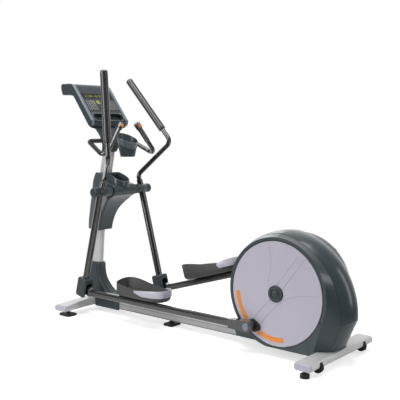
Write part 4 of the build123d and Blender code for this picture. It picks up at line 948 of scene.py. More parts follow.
@dataclass
class Console:
    """The console: edge bands, tray, keys, readout and slots. Layouts on the face are in millimetres."""

    foot: Pair = (-809 * MM, 1369 * MM)
    head: Pair = (-965 * MM, 1572 * MM)
    top_z: float = 1625 * MM
    lip_x: float = -1117 * MM
    chin_z: float = 1337 * MM
    bend: float = 60 * MM
    chin_bend: float = 24 * MM
    bend_steps: int = 8
    band_inner: float = 151 * MM
    band_outer: float = 174 * MM
    band_height: float = 2.2 * MM
    band_sunk: float = 0.6 * MM
    band_slopes: Pair = (1.5 * MM, 3 * MM)
    # The strip under the panel is paler slate, a painted highlight.
    strip: PadRow = ("console_strip", (-140, 61), (140, 66), 1.4, SLATE_PAINTED_HIGHLIGHT, 2)
    pad_edge: float = 0.8 * MM
    pad_edge_share: float = 0.6
    pad_steps: int = 6
    tray_depth: float = 24.0
    mat_corners: tuple[Pair, Pair] = ((-127, 7), (127, 55))
    mat_round: float = 22.0
    mat_height: float = 1.5
    mat_sunk: float = 0.3
    tray_wide: Triple = (146 * MM, 0.5 * MM, 61.5 * MM)
    tray_narrow: Triple = (129 * MM, 4.5 * MM, 57.5 * MM)
    tray_rim: Triple = (147.5 * MM, -0.5 * MM, 63 * MM)
    tray_levels: Pair = (-0.4 * MM, 1.2 * MM)
    rim_radius: float = 2.2 * MM
    oval_steps: int = 12
    key_radius: float = 5.2 * MM
    key_profile: tuple[Pair, ...] = ((1, -0.4), (1, 0.6), (0.88, 1.1), (0.5, 1.3), (0.02, 1.35))
    key_rows: tuple[int, ...] = (100, 117, 134, 151, 168)
    key_columns: tuple[int, ...] = (-130, -113, -96, -79, -62)
    key_sides: int = 20
    key_pads: tuple[PadRow, ...] = (
        ("console_key_panel", (-142, 88), (-50, 180), 0.5, PANEL_DARK, 6),
        ("console_start_key", (-40, 146), (-6, 178), 1.2, KEY_GREEN, 8),
        ("console_stop_key", (-40, 100), (-6, 132), 1.2, PANEL_DARK, 8),
        ("console_field", (12, 96), (142, 178), 0.6, FIELD_GREY, 6),
    )
    vent_top: Pair = (-1000.3 * MM, 1547 * MM)
    vent_bottom: Pair = (-827.4 * MM, 1312.6 * MM)
    vent_rows: int = 6
    vent_first: float = 24.0
    vent_pitch: float = 13.0
    vent_columns: tuple[int, ...] = (-62, 0, 62)
    vent_size: Pair = (2.6, 24)
    vent_corner: Pair = (0.6, 1)
    vent_sunk: float = 0.4 * MM
    vent_thickness: float = 0.9 * MM
    figure_half: float = 4.5 * MM
    figure_step: float = 13.0
    bar_half: float = 0.9 * MM
    bar_share: float = 0.76
    bar_sunk: float = 0.1 * MM
    bar_thickness: float = 0.35 * MM
    figure_groups: tuple[tuple[int, str], ...] = (
        (-120, "125"), (-74, "084"), (-28, "152"), (18, "30"), (51, "113"), (97, "25")
    )

    def __post_init__(self) -> None:
        """Works out the face's directions and its surface."""
        self.along = in_plane(self.head[0] - self.foot[0], self.head[1] - self.foot[1]).normalized()
        self.out = in_plane(self.along.z, -self.along.x)
        self.origin = in_plane(*self.foot)
        self.origin += self.out * (support("console_face", self.out) - self.origin.dot(self.out))

    def at(self, across: float, along: float, out: float = 0.0) -> Vector:
        """A point on the face: across to the user's right, along up the slope, out of the face."""
        return self.origin + Vector((0.0, across, 0.0)) + self.along * along + self.out * out

    def build(self) -> None:
        """Makes every piece of the console."""
        self._bands()
        self._tray()
        self._keys()
        self._readout()
        self._vents()

    def _pad(
        self,
        name: str,
        low: Pair,
        high: Pair,
        height: float,
        finish: Finish,
        corner: float,
        sunk: float = 0.4,
    ) -> None:
        """A flat pad with rounded corners on the face, given in millimetres.

        Args:
            name: the piece's name.
            low: its lower left corner, across and along.
            high: its upper right corner.
            height: how far it stands proud.
            finish: its finish.
            corner: the radius of its corners.
            sunk: how far it goes into the face.
        """
        (low, high), height = in_mm((low, high)), height * MM
        outline = rounded_rectangle(low, high, corner * MM, self.pad_steps)
        rings = [[self.at(a, b, -sunk * MM) for a, b in outline]]
        x, y = (low[0] + high[0]) / 2, (low[1] + high[1]) / 2
        edge = min(self.pad_edge_share * abs(height), self.pad_edge)
        for inset, level in ((0.0, height - edge), (edge, height)):
            shrink = 1 - inset / (high[0] - x)
            rings.append([self.at(x + (a - x) * shrink, y + (b - y) * shrink, level) for a, b in outline])
        Piece.make(name, Shape.loft(rings), finish, "frame")

    def _profile(self) -> list[tuple[Vector, Vector]]:
        """The outline of the lip, the face and the chin, seen from the side.

        Returns:
            Points in the middle plane, each with its outward direction.
        """
        chin = in_plane(*self.foot)
        top = chin + self.along * ((self.top_z - self.foot[1]) / self.along.z)
        forward = in_plane(1.0, 0.0)
        line = [(in_plane(self.lip_x, self.top_z), UP)]
        for corner, before, after, radius in (
            (top, forward, -self.along, self.bend), (chin, -self.along, -UP, self.chin_bend)
        ):
            turn = before.angle(after)
            normal = in_plane(-before.z, before.x)
            centre = corner - before * (radius * math.tan(turn / 2)) - normal * radius
            for step in range(self.bend_steps + 1):
                part = turn * step / self.bend_steps
                out = normal * math.cos(part) + before * math.sin(part)
                line.append((centre + out * radius, out))
        line.append((in_plane(self.foot[0], self.chin_z), forward))
        return line

    def _bands(self) -> None:
        """Paler bands up both edges, from the chin over the face to the lip, and a strip under the panel, all
        in paler slate that paints a highlight along the shell's edges.
        """
        section = (
            (self.band_inner, -self.band_sunk),
            (self.band_inner + self.band_slopes[0], self.band_height),
            (self.band_outer - self.band_slopes[1], self.band_height),
            (self.band_outer, -self.band_sunk),
        )
        for side in Side:
            rings = []
            for point, normal in self._profile():
                rings.append([point + normal * height + side.axis * y for y, height in section])
            # Each band's paler slate is a painted highlight on the shell's edge.
            Piece.make(f"{side.word}_console_band", Shape.loft(rings), SLATE_PAINTED_HIGHLIGHT, "frame")
        self._pad(*self.strip)

    def _oval(self, size: Triple, out: float) -> list[Vector]:
        """A long rounded outline on the face.

        Args:
            size: its half width, and where it starts and ends along the face.
            out: its height over the face.

        Returns:
            The outline's points.
        """
        half_width, low, high = size
        radius, middle = (high - low) / 2, (high + low) / 2
        outline = []
        for across, start in ((half_width - radius, -90), (radius - half_width, 90)):
            for step in range(self.oval_steps + 1):
                turn = math.radians(start + 180 * step / self.oval_steps)
                spot = (across + radius * math.cos(turn), middle + radius * math.sin(turn))
                outline.append(self.at(*spot, out))
        return outline

    def _tray(self) -> None:
        """A dark mat in the tray and a dark surround, whose green tint is a painted reflection, and a paler
        rim round it, in paler slate that is a painted highlight.
        """
        height, sunk = self.mat_height - self.tray_depth, self.tray_depth + self.mat_sunk
        self._pad("console_tray_mat", *self.mat_corners, height, TRAY_DARK_REFLECTION, self.mat_round, sunk)
        low, high = self.tray_levels
        rings = [self._oval(self.tray_wide, low), self._oval(self.tray_wide, high)]
        rings += [self._oval(self.tray_narrow, high), self._oval(self.tray_narrow, low)]
        around = [list(section) for section in zip(*rings)]
        Piece.make("console_tray_surround", Shape.loft(around, closed=True), TRAY_DARK_REFLECTION, "frame")
        rim = self._oval(self.tray_rim, 0.0)
        # The rim's paler slate is a painted highlight round the tray's mouth.
        NodeForms.bead("console_tray_rim", [rim + rim[:1]], self.rim_radius, SLATE_PAINTED_HIGHLIGHT, "frame")

    def _vents(self) -> None:
        """Rows of slots in the back, drawn as dark plates: painted shade where the slots open."""
        upper = in_plane(*self.vent_top)
        down = (in_plane(*self.vent_bottom) - upper).normalized()
        out = in_plane(down.z, -down.x)
        (wide, tall), (dx, dy) = self.vent_size, self.vent_corner
        half = [(dx - wide, -tall), (wide - dx, -tall), (wide, dy - tall), (wide, tall - dy)]
        slot = in_mm(half + [(-x, -y) for x, y in half])
        shape = Shape.plate([Vector((x, y, -self.vent_sunk)) for x, y in slot], UP * self.vent_thickness)
        places = []
        for row in range(self.vent_rows):
            middle = upper + down * (self.vent_first + self.vent_pitch * row) * MM
            places += [(middle + Vector((0.0, across * MM, 0.0)), out) for across in self.vent_columns]
        # Dark plates stand in for the shade inside the vent slots.
        NodeForms.scatter("console_vents", places, shape, SEAM_DARK_AND_SHADE, "frame")

    def _keys(self) -> None:
        """Rows of round keys on the left, two large keys and a bare field on the right."""
        key = [(share * self.key_radius, up * MM) for share, up in self.key_profile]
        places = []
        for along in self.key_rows:
            places += [(self.at(across * MM, along * MM), self.out) for across in self.key_columns]
        shape = Shape.lathe(key, Vector(), UP, self.key_sides)
        NodeForms.scatter("console_keys", places, shape, KEY_WHITE, "frame")
        for pad in self.key_pads:
            self._pad(*pad)

    @staticmethod
    def _bars(figure: str) -> list[tuple[float, float, bool]]:
        """The bars of one figure.

        Args:
            figure: a digit.

        Returns:
            Place across and along, as shares of the figure, and whether the bar lies flat.
        """
        bars = {
            "a": (0.0, 1.0, True),
            "b": (0.5, 0.5, False),
            "c": (0.5, -0.5, False),
            "d": (0.0, -1.0, True),
            "e": (-0.5, -0.5, False),
            "f": (-0.5, 0.5, False),
            "g": (0.0, 0.0, True),
        }
        lit = {
            "0": "abcdef", "1": "bc", "2": "abged", "3": "abgcd", "4": "fgbc", "5": "afgcd", "8": "abcdefg"
        }
        return [bars[letter] for letter in lit[figure]]

    def _readout(self) -> None:
        """A row of lit figures in the display window, each made of up to seven bars."""
        low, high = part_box("display_window")
        middle = ((Vector(low) + Vector(high)) / 2 - self.origin).dot(self.along)
        lift = support("display_window", self.out) - self.origin.dot(self.out) - self.bar_sunk
        size, long, thin = self.figure_half * 2, self.figure_half * self.bar_share, self.bar_half
        points, faces = [], []
        for place, text in self.figure_groups:
            for step, figure in enumerate(text):
                across = (place + self.figure_step * step) * MM
                for dx, dy, flat in self._bars(figure):
                    wide, tall = (long, thin) if flat else (thin, long)
                    x, y = across + dx * size, middle + dy * size
                    signs = ((-1, -1), (1, -1), (1, 1), (-1, 1))
                    outline = [self.at(x + a * wide, y + b * tall, lift) for a, b in signs]
                    bar_points, bar_faces = Shape.plate(outline, self.out * self.bar_thickness)
                    faces += [[index + len(points) for index in face] for face in bar_faces]
                    points += bar_points
        Piece.make("console_readout", (points, faces), READOUT, "frame")


@dataclass
class SwingArm:
    """One swinging handlebar: foam grip, end plug and hub sleeve. Edge profiles are in millimetres."""

    side: Side
    elbow: Triple = (208 * MM, 288 * MM, 184 * MM)
    tip: Triple = (-24 * MM, 814 * MM, 128 * MM)
    grip_share: float = 0.2
    grip_radius: float = 26 * MM
    grip_bore: float = 17 * MM
    grip_end: float = 10 * MM
    grip_short: float = 14 * MM
    grip_collar: float = 15 * MM
    grip_waist: float = 0.4 * MM
    grip_steps: int = 12
    grip_sides: int = 40
    grip_mouth: tuple[Pair, ...] = ((3, 0), (1, 1), (0, 4), (0, 12), (0.8, 13), (0.8, 14))
    grip_bevel: Pair = (1.2 * MM, 1 * MM)
    plug_sunk: float = 2 * MM
    plug_neck: Pair = (0.6 * MM, 1.5 * MM)
    plug_tip: float = 0.1 * MM
    plug_round: float = 13 * MM
    plug_steps: int = 8
    hub_radius: float = 32 * MM
    hub_span: Pair = (112 * MM, 226 * MM)
    hub_steps: int = 64
    hub_edge: tuple[Pair, ...] = ((-0.6, 0), (1.2, 0.6), (1.8, 2))
    seam_inset: float = 22 * MM
    seam_proud: Pair = (1.7 * MM, 0.2 * MM)
    seam_radius: float = 0.9 * MM
    screw_inset: float = 42 * MM
    screw_facing: Triple = (0.95, 0.0, -0.31)
    screw_size: Pair = (4.5 * MM, 1.6 * MM)

    def __post_init__(self) -> None:
        """Reads the arm's rest angle from its pivot and its lower hinge."""
        word = self.side.word
        self.body = f"{word}_swing"
        self.pivot = joint_place(f"{word}_swing_hinge")
        boot = joint_place(f"{word}_pedal_hinge")
        self.angle = math.atan2(boot.x - self.pivot.x, self.pivot.z - boot.z)

    def point(self, place: Triple) -> Vector:
        """A point of the arm.

        Args:
            place: rearward, up along the arm and outward from the pivot.

        Returns:
            The point where it stands at rest.
        """
        c, s = math.cos(self.angle), math.sin(self.angle)
        rear, up, out = place
        return self.pivot + Vector((rear * c - up * s, self.side.value * out, rear * s + up * c))

    def build(self) -> None:
        """Makes the grip with its end plug and the sleeve round the hub."""
        self._grip()
        self._hub_sleeve()

    def _hub_sleeve(self) -> None:
        """A moulded sleeve round the hub, with two seams and a screw."""
        word, axis = self.side.word, self.side.axis
        origin = in_plane(self.pivot.x, self.pivot.z)
        radius, (start, stop) = self.hub_radius, self.hub_span
        edge = in_mm(self.hub_edge)
        profile = [(radius + grow, start + inset) for grow, inset in edge]
        profile += [(radius + grow, stop - inset) for grow, inset in reversed(edge)]
        sleeve = Shape.lathe(profile, origin, axis, self.hub_steps, closed=True)
        Piece.make(f"{word}_hub_sleeve", sleeve, SLATE_GLOSS, self.body)
        turns = full_turns(self.hub_steps, last=True)
        seams = []
        for station, proud in zip((start + self.seam_inset, stop), self.seam_proud):
            middle, reach = origin + axis * station, radius + proud
            seams.append([middle + in_plane(math.cos(turn), math.sin(turn)) * reach for turn in turns])
        NodeForms.bead(f"{word}_hub_seams", seams, self.seam_radius, SEAM_DARK_AND_SHADE, self.body)
        facing = Vector(self.screw_facing).normalized()
        spot = origin + axis * (stop - self.screw_inset) + facing * (radius + self.screw_size[1])
        head = screw_head(*self.screw_size)
        NodeForms.scatter(f"{word}_hub_screw", [(spot, facing)], head, BLACK_SATIN, self.body)

    def _grip(self) -> None:
        """The foam sleeve and the plug in its end."""
        word = self.side.word
        elbow, tip = self.point(self.elbow), self.point(self.tip)
        axis = (tip - elbow).normalized()
        start = elbow + (tip - elbow) * self.grip_share
        length = (tip - start).length
        radius, bore, collar = self.grip_radius, self.grip_bore, self.grip_collar
        end = length - self.grip_short
        mouth = in_mm(self.grip_mouth)
        bevel, rise = self.grip_bevel
        sleeve = [(bore, 0.0), *((radius - inset, up) for inset, up in mouth), (radius, collar)]
        for step in range(1, self.grip_steps + 1):
            share = step / self.grip_steps
            waist = self.grip_waist * math.sin(math.pi * share)
            sleeve.append((radius - waist, collar + (end - collar - rise) * share))
        sleeve += [(radius - bevel, end), (bore, end)]
        form = Shape.lathe(sleeve, start, axis, self.grip_sides, closed=True)
        grip = Piece.make(f"{word}_grip_sleeve", form, FOAM_BLACK, self.body)
        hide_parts(f"{word}_grip")
        top, bulge = length + self.grip_end, self.plug_round
        neck, rise = self.plug_neck
        plug = [(bore, end - self.plug_sunk), (radius - neck, end), (radius, end + rise)]
        for step in range(self.plug_steps + 1):
            turn = math.pi / 2 * step / self.plug_steps
            plug.append((radius - bulge + bulge * math.cos(turn), top - bulge + bulge * math.sin(turn)))
        plug.append((self.plug_tip, top))
        form = Shape.lathe(plug, start, axis, self.grip_sides)
        Piece.make(f"{word}_grip_plug", form, BLACK_GLOSS, self.body)


@dataclass
class PedalStep:
    """One pedal: its tray, its heel guard, and the mat with its tread. Sections are in millimetres."""

    side: Side
    arm_length: float = 1415 * MM
    arm_drop: float = 38 * MM
    tube_start: float = 66 * MM
    rod_end: float = 120 * MM
    behind_boot: float = 525 * MM
    floor_height: float = 49 * MM
    pedal_y: float = 150 * MM
    length: float = 430 * MM
    width: float = 168 * MM
    squareness: float = 3.2
    outer_wall: Pair = (60 * MM, 38 * MM)
    inner_wall: Pair = (88 * MM, 46 * MM)
    wall_fall: Pair = (0.9, 1.4)
    tray_steps: int = 96
    belly: tuple[Pair, ...] = ((-48, -26), (-26, -25), (-14, -21), (-5, -13), (-1, -5), (0, 2))
    rim: tuple[Pair, ...] = ((0, 3), (-0.6, 0.8), (-2, 0), (-3.6, 0.8), (-4.2, 3))
    inside: tuple[Pair, ...] = ((-5, 5), (-8, 1), (-14, 0))
    guard_turns: Pair = (90.0, 66.0)
    guard_steps: int = 48
    guard_taper: float = 0.07
    guard_foot: Pair = (8, 18)
    guard_crest: Triple = (44, 12, 4)
    guard_lower: tuple[Pair, ...] = ((-1, 0), (4.5, 0), (6, 2))
    guard_upper: tuple[Pair, ...] = ((6, -2.5), (4.6, 0), (1, 0), (-4.6, -2))
    mat_inset: Pair = (12 * MM, 10 * MM)
    mat_corner: float = 46 * MM
    mat_steps: int = 8
    mat_height: float = 2 * MM
    mat_layers: tuple[Triple, ...] = ((1, 1, -0.3), (1, 1, 1.2), (0.99, 0.985, 2))
    tread_pitch: Pair = (17 * MM, 12 * MM)
    tread_half: tuple[int, int] = (10, 5)
    tread_margin: Triple = (14 * MM, 10 * MM, 9 * MM)
    lozenge: Pair = (7, 4)
    lozenge_layers: tuple[Pair, Pair] = ((-0.4, 1.0), (1.6, 0.8))

    def __post_init__(self) -> None:
        """Reads the pedal arm's slope from its boot hinge and its crank pin."""
        word = self.side.word
        self.body = f"{word}_pedal_link"
        self.boot = joint_place(f"{word}_pedal_hinge")
        low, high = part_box(f"{word}_crank_pin")
        pin = (Vector(low) + Vector(high)) / 2
        self.slope = math.atan2(pin.z - self.boot.z, pin.x - self.boot.x)
        self.start = self._on_arm(self.tube_start)
        self.along = (self._on_arm(self.arm_length - self.rod_end) - self.start).normalized()
        self.up = in_plane(-self.along.z, self.along.x)
        self.mat_half = (self.length / 2 - self.mat_inset[0], self.width / 2 - self.mat_inset[1])

    def _on_arm(self, along: float) -> Vector:
        """A point on the axis of the arm's tube.

        Args:
            along: how far it lies behind the boot's hinge.

        Returns:
            The point.
        """
        drop = -self.arm_drop * (1 - along / self.arm_length)
        c, s = math.cos(self.slope), math.sin(self.slope)
        return self.boot + in_plane(along * c - drop * s, along * s + drop * c)

    def at(self, along: float, across: float, up: float) -> Vector:
        """A point of the pedal.

        Args:
            along: how far it lies behind the pedal's middle.
            across: how far it lies to the right of the middle.
            up: how far it lies above the pedal's floor.

        Returns:
            The point.
        """
        middle = self.start + self.along * (self.behind_boot - self.tube_start) + self.up * self.floor_height
        middle.y = self.side.value * self.pedal_y
        return middle + self.along * along + self.up * up + Vector((0.0, across, 0.0))

    def build(self) -> None:
        """Makes the tray with its heel guard, the mat and its tread."""
        self._tray()
        self._guard()
        self._mat()
        self._tread()

    def _rim(self, a: float, b: float) -> float:
        """How high the tray's wall stands over its floor: high on the inner side and at the toe.

        Args:
            a: the place along the pedal.
            b: the place across it.

        Returns:
            The height.
        """
        start, span = self.wall_fall
        share = min(max((a / (self.length / 2) + start) / span, 0.0), 1.0)
        fall = share * share * (3 - 2 * share)
        inward = (1 - self.side.value * b / (self.width / 2)) / 2
        outer, inner = (toe + (heel - toe) * fall for toe, heel in (self.outer_wall, self.inner_wall))
        return outer + (inner - outer) * inward

    def _edge(self, turn: float, grow: float) -> Pair:
        """A point of the tray's outline.

        Args:
            turn: the turn about the pedal's middle.
            grow: how far the outline is grown outward.

        Returns:
            The place along the pedal and across it.
        """
        half = ((self.length / 2 + grow, math.cos(turn)), (self.width / 2 + grow, math.sin(turn)))
        a, b = (reach * math.copysign(abs(part) ** (2 / self.squareness), part) for reach, part in half)
        return a, b

    def _tray(self) -> None:
        """The moulded tray with its high toe and deep belly, in place of the plain one."""
        turns = full_turns(self.tray_steps)
        rings = [[self.at(*self._edge(turn, grow), up) for turn in turns] for grow, up in in_mm(self.belly)]
        for grow, below in in_mm(self.rim):
            outline = [self._edge(turn, grow) for turn in turns]
            rings.append([self.at(a, b, self._rim(a, b) - below) for a, b in outline])
        rings += [[self.at(*self._edge(turn, grow), up) for turn in turns] for grow, up in in_mm(self.inside)]
        tray = Piece.make(f"{self.side.word}_pedal_tray", Shape.loft(rings), PEDAL_GREY, self.body)
        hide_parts(f"{self.side.word}_pedal")

    def _guard(self) -> None:
        """The pale guard round the heel, taller at its back and pointed at its front ends."""
        foot, foot_rise = self.guard_foot
        crest, arch, end_fall = self.guard_crest
        rings = []
        for step in range(self.guard_steps + 1):
            share = 2 * step / self.guard_steps - 1
            outward = share * self.side.value > 0
            turn = share * math.radians(self.guard_turns[0 if outward else 1])
            end = max((abs(share) - 1 + self.guard_taper) / self.guard_taper, 0.0)
            low = foot + foot_rise * end
            high = crest + arch * (1 - abs(share) ** 3) - end_fall * end
            section = [(grow, low + up) for grow, up in self.guard_lower]
            section += [(grow, high + up) for grow, up in self.guard_upper]
            rings.append([self.at(*self._edge(turn, grow), up) for grow, up in in_mm(section)])
        guard = Piece.make(f"{self.side.word}_guard_band", Shape.loft(rings), GUARD_SILVER, self.body)
        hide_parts(f"{self.side.word}_heel_guard")

    def _mat(self) -> None:
        """The mat on the tray's floor."""
        half_length, half_width = self.mat_half
        low, high = (-half_length, -half_width), (half_length, half_width)
        outline = rounded_rectangle(low, high, self.mat_corner, self.mat_steps)
        rings = []
        for long, wide, up in self.mat_layers:
            rings.append([self.at(a * long, b * wide, up * MM) for a, b in outline])
        Piece.make(f"{self.side.word}_pedal_mat", Shape.loft(rings), PEDAL_MAT, self.body)

    def _on_mat(self, a: float, b: float) -> bool:
        """Whether a lozenge at a place stays on the mat.

        Args:
            a: the place along the pedal.
            b: the place across it.

        Returns:
            True where it clears the mat's edges and rounded corners.
        """
        long, wide = abs(a) - self.mat_half[0], abs(b) - self.mat_half[1]
        corner = self.mat_corner
        past = math.hypot(max(long + corner, 0), max(wide + corner, 0))
        end, edge, bend = self.tread_margin
        return long < -end and wide < -edge and past < corner - bend

    def _tread(self) -> None:
        """Lozenges in staggered rows on the mat."""
        long, wide = self.lozenge
        layers = []
        for up, share in self.lozenge_layers:
            corners = in_mm(((long * share, 0), (0, wide * share), (-long * share, 0), (0, -wide * share)))
            layers.append([Vector((x, y, up * MM)) for x, y in corners])
        rows, columns = self.tread_half
        places = []
        for row in range(-rows, rows + 1):
            shift = 0.5 if row % 2 else 0.0
            for column in range(-columns, columns + 1):
                a, b = row * self.tread_pitch[0], (column + shift) * self.tread_pitch[1]
                if self._on_mat(a, b):
                    places.append((self.at(a, b, self.mat_height), self.up))
        NodeForms.scatter(f"{self.side.word}_pedal_tread", places, Shape.loft(layers), PEDAL_GREY, self.body)


@dataclass
class TransportWheel:
    """One transport wheel with dished sides and a grooved tyre. The grooves are in millimetres."""

    side: Side
    radius: float = 32 * MM
    width: float = 26 * MM
    bore: float = 5.05 * MM
    shoulder: float = 3 * MM
    dish: float = 2 * MM
    dish_shares: tuple[Pair, ...] = ((0.42, 0), (0.45, 1), (0.72, 1), (0.76, 0))
    sides: int = 48
    grooves: tuple[int, ...] = (-5, 0, 5)
    groove: tuple[Pair, ...] = ((-1.2, 0.0), (-0.7, 1.5), (0.7, 1.5), (1.2, 0.0))

    def build(self) -> None:
        """Turns the wheel about its axle."""
        word, radius, half = self.side.word, self.radius, self.width / 2
        face = [(self.bore, half)]
        face += [(share * radius, half - sunk * self.dish) for share, sunk in self.dish_shares]
        face += [(radius - self.shoulder, half), (radius, half - self.shoulder)]
        profile = [(reach, -place) for reach, place in face]
        for middle in self.grooves:
            profile += [(radius - depth * MM, (middle + shift) * MM) for shift, depth in self.groove]
        profile += reversed(face)
        centre = joint_place(f"{word}_wheel_roll")
        form = Shape.lathe(profile, centre, Side.RIGHT.axis, self.sides, closed=True)
        wheel = Piece.make(f"{word}_wheel_tyre", form, RUBBER_BLACK, f"{word}_wheel")
        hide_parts(f"{word}_transport_wheel")


@dataclass
class CupHolder:
    """The cup holder: a glossy band under its slanted mouth. The band's section is in millimetres."""

    centre_x: float = -641 * MM
    low: Pair = (50 * MM, 1120 * MM)
    high: Pair = (84 * MM, 1285 * MM)
    mouth_z: float = 1246 * MM
    mouth_slope: float = 0.44
    band: float = 44.0
    band_foot: tuple[Pair, Pair] = ((0, -0.5), (-1, 1.4))
    edge: tuple[Pair, ...] = ((4, 1.4), (1, 0.8), (-0.7, -0.8), (-0.7, -3.0), (1, -3.6))
    groove_below: float = 0.8
    groove_radius: float = 0.9 * MM
    segments: int = 72

    def __post_init__(self) -> None:
        """Works out how fast the cup widens."""
        self.taper = (self.high[0] - self.low[0]) / (self.high[1] - self.low[1])

    def _at(self, turn: float, depth: float, proud: float) -> Vector:
        """A point on the cup.

        Args:
            turn: the turn about the cup's axis.
            depth: how far it lies under the mouth's edge.
            proud: how far it stands out of the cup's side.

        Returns:
            The point.
        """
        lean = self.mouth_slope * math.cos(turn)
        mouth = (self.mouth_z - lean * (self.low[0] - self.taper * self.low[1])) / (1 + lean * self.taper)
        z = mouth - depth
        reach = self.low[0] + self.taper * (z - self.low[1]) + proud
        return Vector((self.centre_x + reach * math.cos(turn), reach * math.sin(turn), z))

    def build(self) -> None:
        """Makes the band as a loop of rings that follow the mouth, and a groove under it."""
        foot = [(self.band + depth, proud) for depth, proud in self.band_foot]
        loop = in_mm((*foot, *self.edge))
        turns = full_turns(self.segments)
        rings = [[self._at(turn, depth, proud) for depth, proud in loop] for turn in turns]
        groove = [self._at(turn, (self.band + self.groove_below) * MM, 0.0) for turn in turns]
        Piece.make("cup_band", Shape.loft(rings, closed=True), CUP_SLATE, "frame")
        NodeForms.bead("cup_groove", [groove + groove[:1]], self.groove_radius, SEAM_DARK_AND_SHADE, "frame")


@dataclass
class TrayLip:
    """The rounded wall round the storage tray behind the mast. The crest's section is in millimetres."""

    front_x: float = -796 * MM
    bend_x: float = -712 * MM
    rear_reach: float = 50 * MM
    half_width: float = 57 * MM
    half_wall: float = 4 * MM
    bottom_z: float = 905 * MM
    crest_z: float = 1003 * MM
    drop: float = 56 * MM
    drop_power: float = 1.5
    side_steps: int = 6
    bend_steps: int = 24
    crest: tuple[Triple, ...] = ((-1, 4, 2), (-0.6, 1, 2.6), (0, 0, 3), (0.6, 1, 3.4), (1, 4, 3))

    def _stations(self) -> list[tuple[Vector, Vector]]:
        """The wall's middle line in plan.

        Returns:
            Points on the ground plane, each with its outward direction.
        """
        line = []
        for step in range(self.side_steps + 1):
            x = self.front_x + (self.bend_x - self.front_x) * step / self.side_steps
            line.append((Vector((x, -self.half_width, 0.0)), Side.LEFT.axis))
        other = [(Vector((spot.x, -spot.y, 0.0)), -out) for spot, out in reversed(line)]
        for step in range(1, self.bend_steps):
            turn = math.pi * step / self.bend_steps - math.pi / 2
            c, s = math.cos(turn), math.sin(turn)
            spot = Vector((self.bend_x + self.rear_reach * c, self.half_width * s, 0.0))
            line.append((spot, Vector((c / self.rear_reach, s / self.half_width, 0.0)).normalized()))
        return line + other

    def build(self) -> None:
        """Makes the wall, which falls towards its back."""
        span = self.bend_x + self.rear_reach - self.front_x
        rings = []
        for spot, out in self._stations():
            share = max(spot.x - self.front_x, 0.0) / span
            top = self.crest_z - self.drop * share**self.drop_power
            section = [(place, top - below * MM, flare * MM) for place, below, flare in self.crest]
            section = [(-1, self.bottom_z, 0.0), *section, (1, self.bottom_z, 0.0)]
            reaches = [(place * self.half_wall + flare, z) for place, z, flare in section]
            rings.append([spot + out * reach + UP * z for reach, z in reaches])
        Piece.make("storage_tray_lip", Shape.loft(rings), SLATE_GLOSS, "frame")


@dataclass
class Base:
    """The rail's pale edge strips and dark groove lines, which paint the highlight on its top and the shade
    in its grooves, and the seams and ridge of the cover over the mast's foot.
    """

    rail_half: float = 50 * MM
    rail_span: Pair = (-688 * MM, 342 * MM)
    rail_edge: tuple[Pair, ...] = ((20, 94.4), (20, 96.2), (47, 96.2), (51.6, 92), (51.6, 86), (49.4, 85))
    groove_heights: Pair = (46 * MM, 82 * MM)
    groove_radius: float = 1.3 * MM
    slope: tuple[Pair, Pair, Pair] = (
        (-901.8 * MM, 352 * MM), (-856.8 * MM, 182.4 * MM), (-690 * MM, 104 * MM)
    )
    slope_steps: int = 40
    side_steps: tuple[Pair, Pair, Pair] = ((104 * MM, 60 * MM), (234.7 * MM, 38 * MM), (352 * MM, 37.5 * MM))
    seam_insets: Pair = (24 * MM, 30 * MM)
    seam_span: Pair = (116 * MM, 338 * MM)
    seam_radius: float = 1.0 * MM
    ridge_heights: Pair = (-4 * MM, 2 * MM)
    ridge_half: float = 26 * MM
    ridge_share: float = 0.6
    ridge_crown: float = 0.8
    ridge_ends: tuple[int, int] = (1, -4)

    def build(self) -> None:
        """Makes the rail's strips and the cover's seams and ridge."""
        self._rail_edges()
        self._cover_seams()
        self._cover_ridge()

    def _rail_edges(self) -> None:
        """A pale strip along both top corners of the rail, a painted highlight on its lit top, with dark
        lines under it that paint the shade in its grooves.
        """
        lines = []
        for side in Side:
            section = [(side.value * y, z) for y, z in in_mm(self.rail_edge)]
            rings = [[Vector((x, y, z)) for y, z in section] for x in self.rail_span]
            Piece.make(f"{side.word}_rail_edge", Shape.loft(rings), FRAME_SILVER, "frame")
            for z in self.groove_heights:
                lines.append([Vector((x, side.value * self.rail_half, z)) for x in self.rail_span])
        # The dark lines are painted shade in the rail's grooves.
        NodeForms.bead("rail_grooves", lines, self.groove_radius, RAIL_GROOVE_SHADE, "frame")

    def _half_width(self, z: float) -> float:
        """The cover's half width at a height.

        Args:
            z: the height.

        Returns:
            The half width.
        """
        for (low, wide), (high, narrow) in zip(self.side_steps, self.side_steps[1:]):
            if z <= high:
                return wide + (narrow - wide) * (z - low) / (high - low)
        return self.side_steps[-1][1]

    def _cover_seams(self) -> None:
        """Two grooves beside the cover's sloping ridge, on both sides."""
        low, high = self.seam_span
        paths = []
        for side in Side:
            for inset in self.seam_insets:
                line = arc_through(*self.slope, self.slope_steps, inset)
                spots = [(x, z) for x, z in line if low < z < high]
                paths.append([Vector((x, side.value * self._half_width(z), z)) for x, z in spots])
        NodeForms.bead("cover_seams", paths, self.seam_radius, SEAM_DARK_AND_SHADE, "frame")

    def _cover_ridge(self) -> None:
        """A raised ridge down the cover's slope."""
        outer, inner = (arc_through(*self.slope, self.slope_steps, grow) for grow in self.ridge_heights)
        crown, (first, last) = self.ridge_crown, self.ridge_ends
        rings = []
        for (ox, oz), (ix, iz) in list(zip(outer, inner))[first:last]:
            half = min(self._half_width(oz) * self.ridge_share, self.ridge_half)
            section = ((-1.0, ix, iz), (-crown, ox, oz), (crown, ox, oz), (1.0, ix, iz))
            rings.append([Vector((x, share * half, z)) for share, x, z in section])
        Piece.make("cover_ridge", Shape.loft(rings), SLATE_GLOSS, "frame")


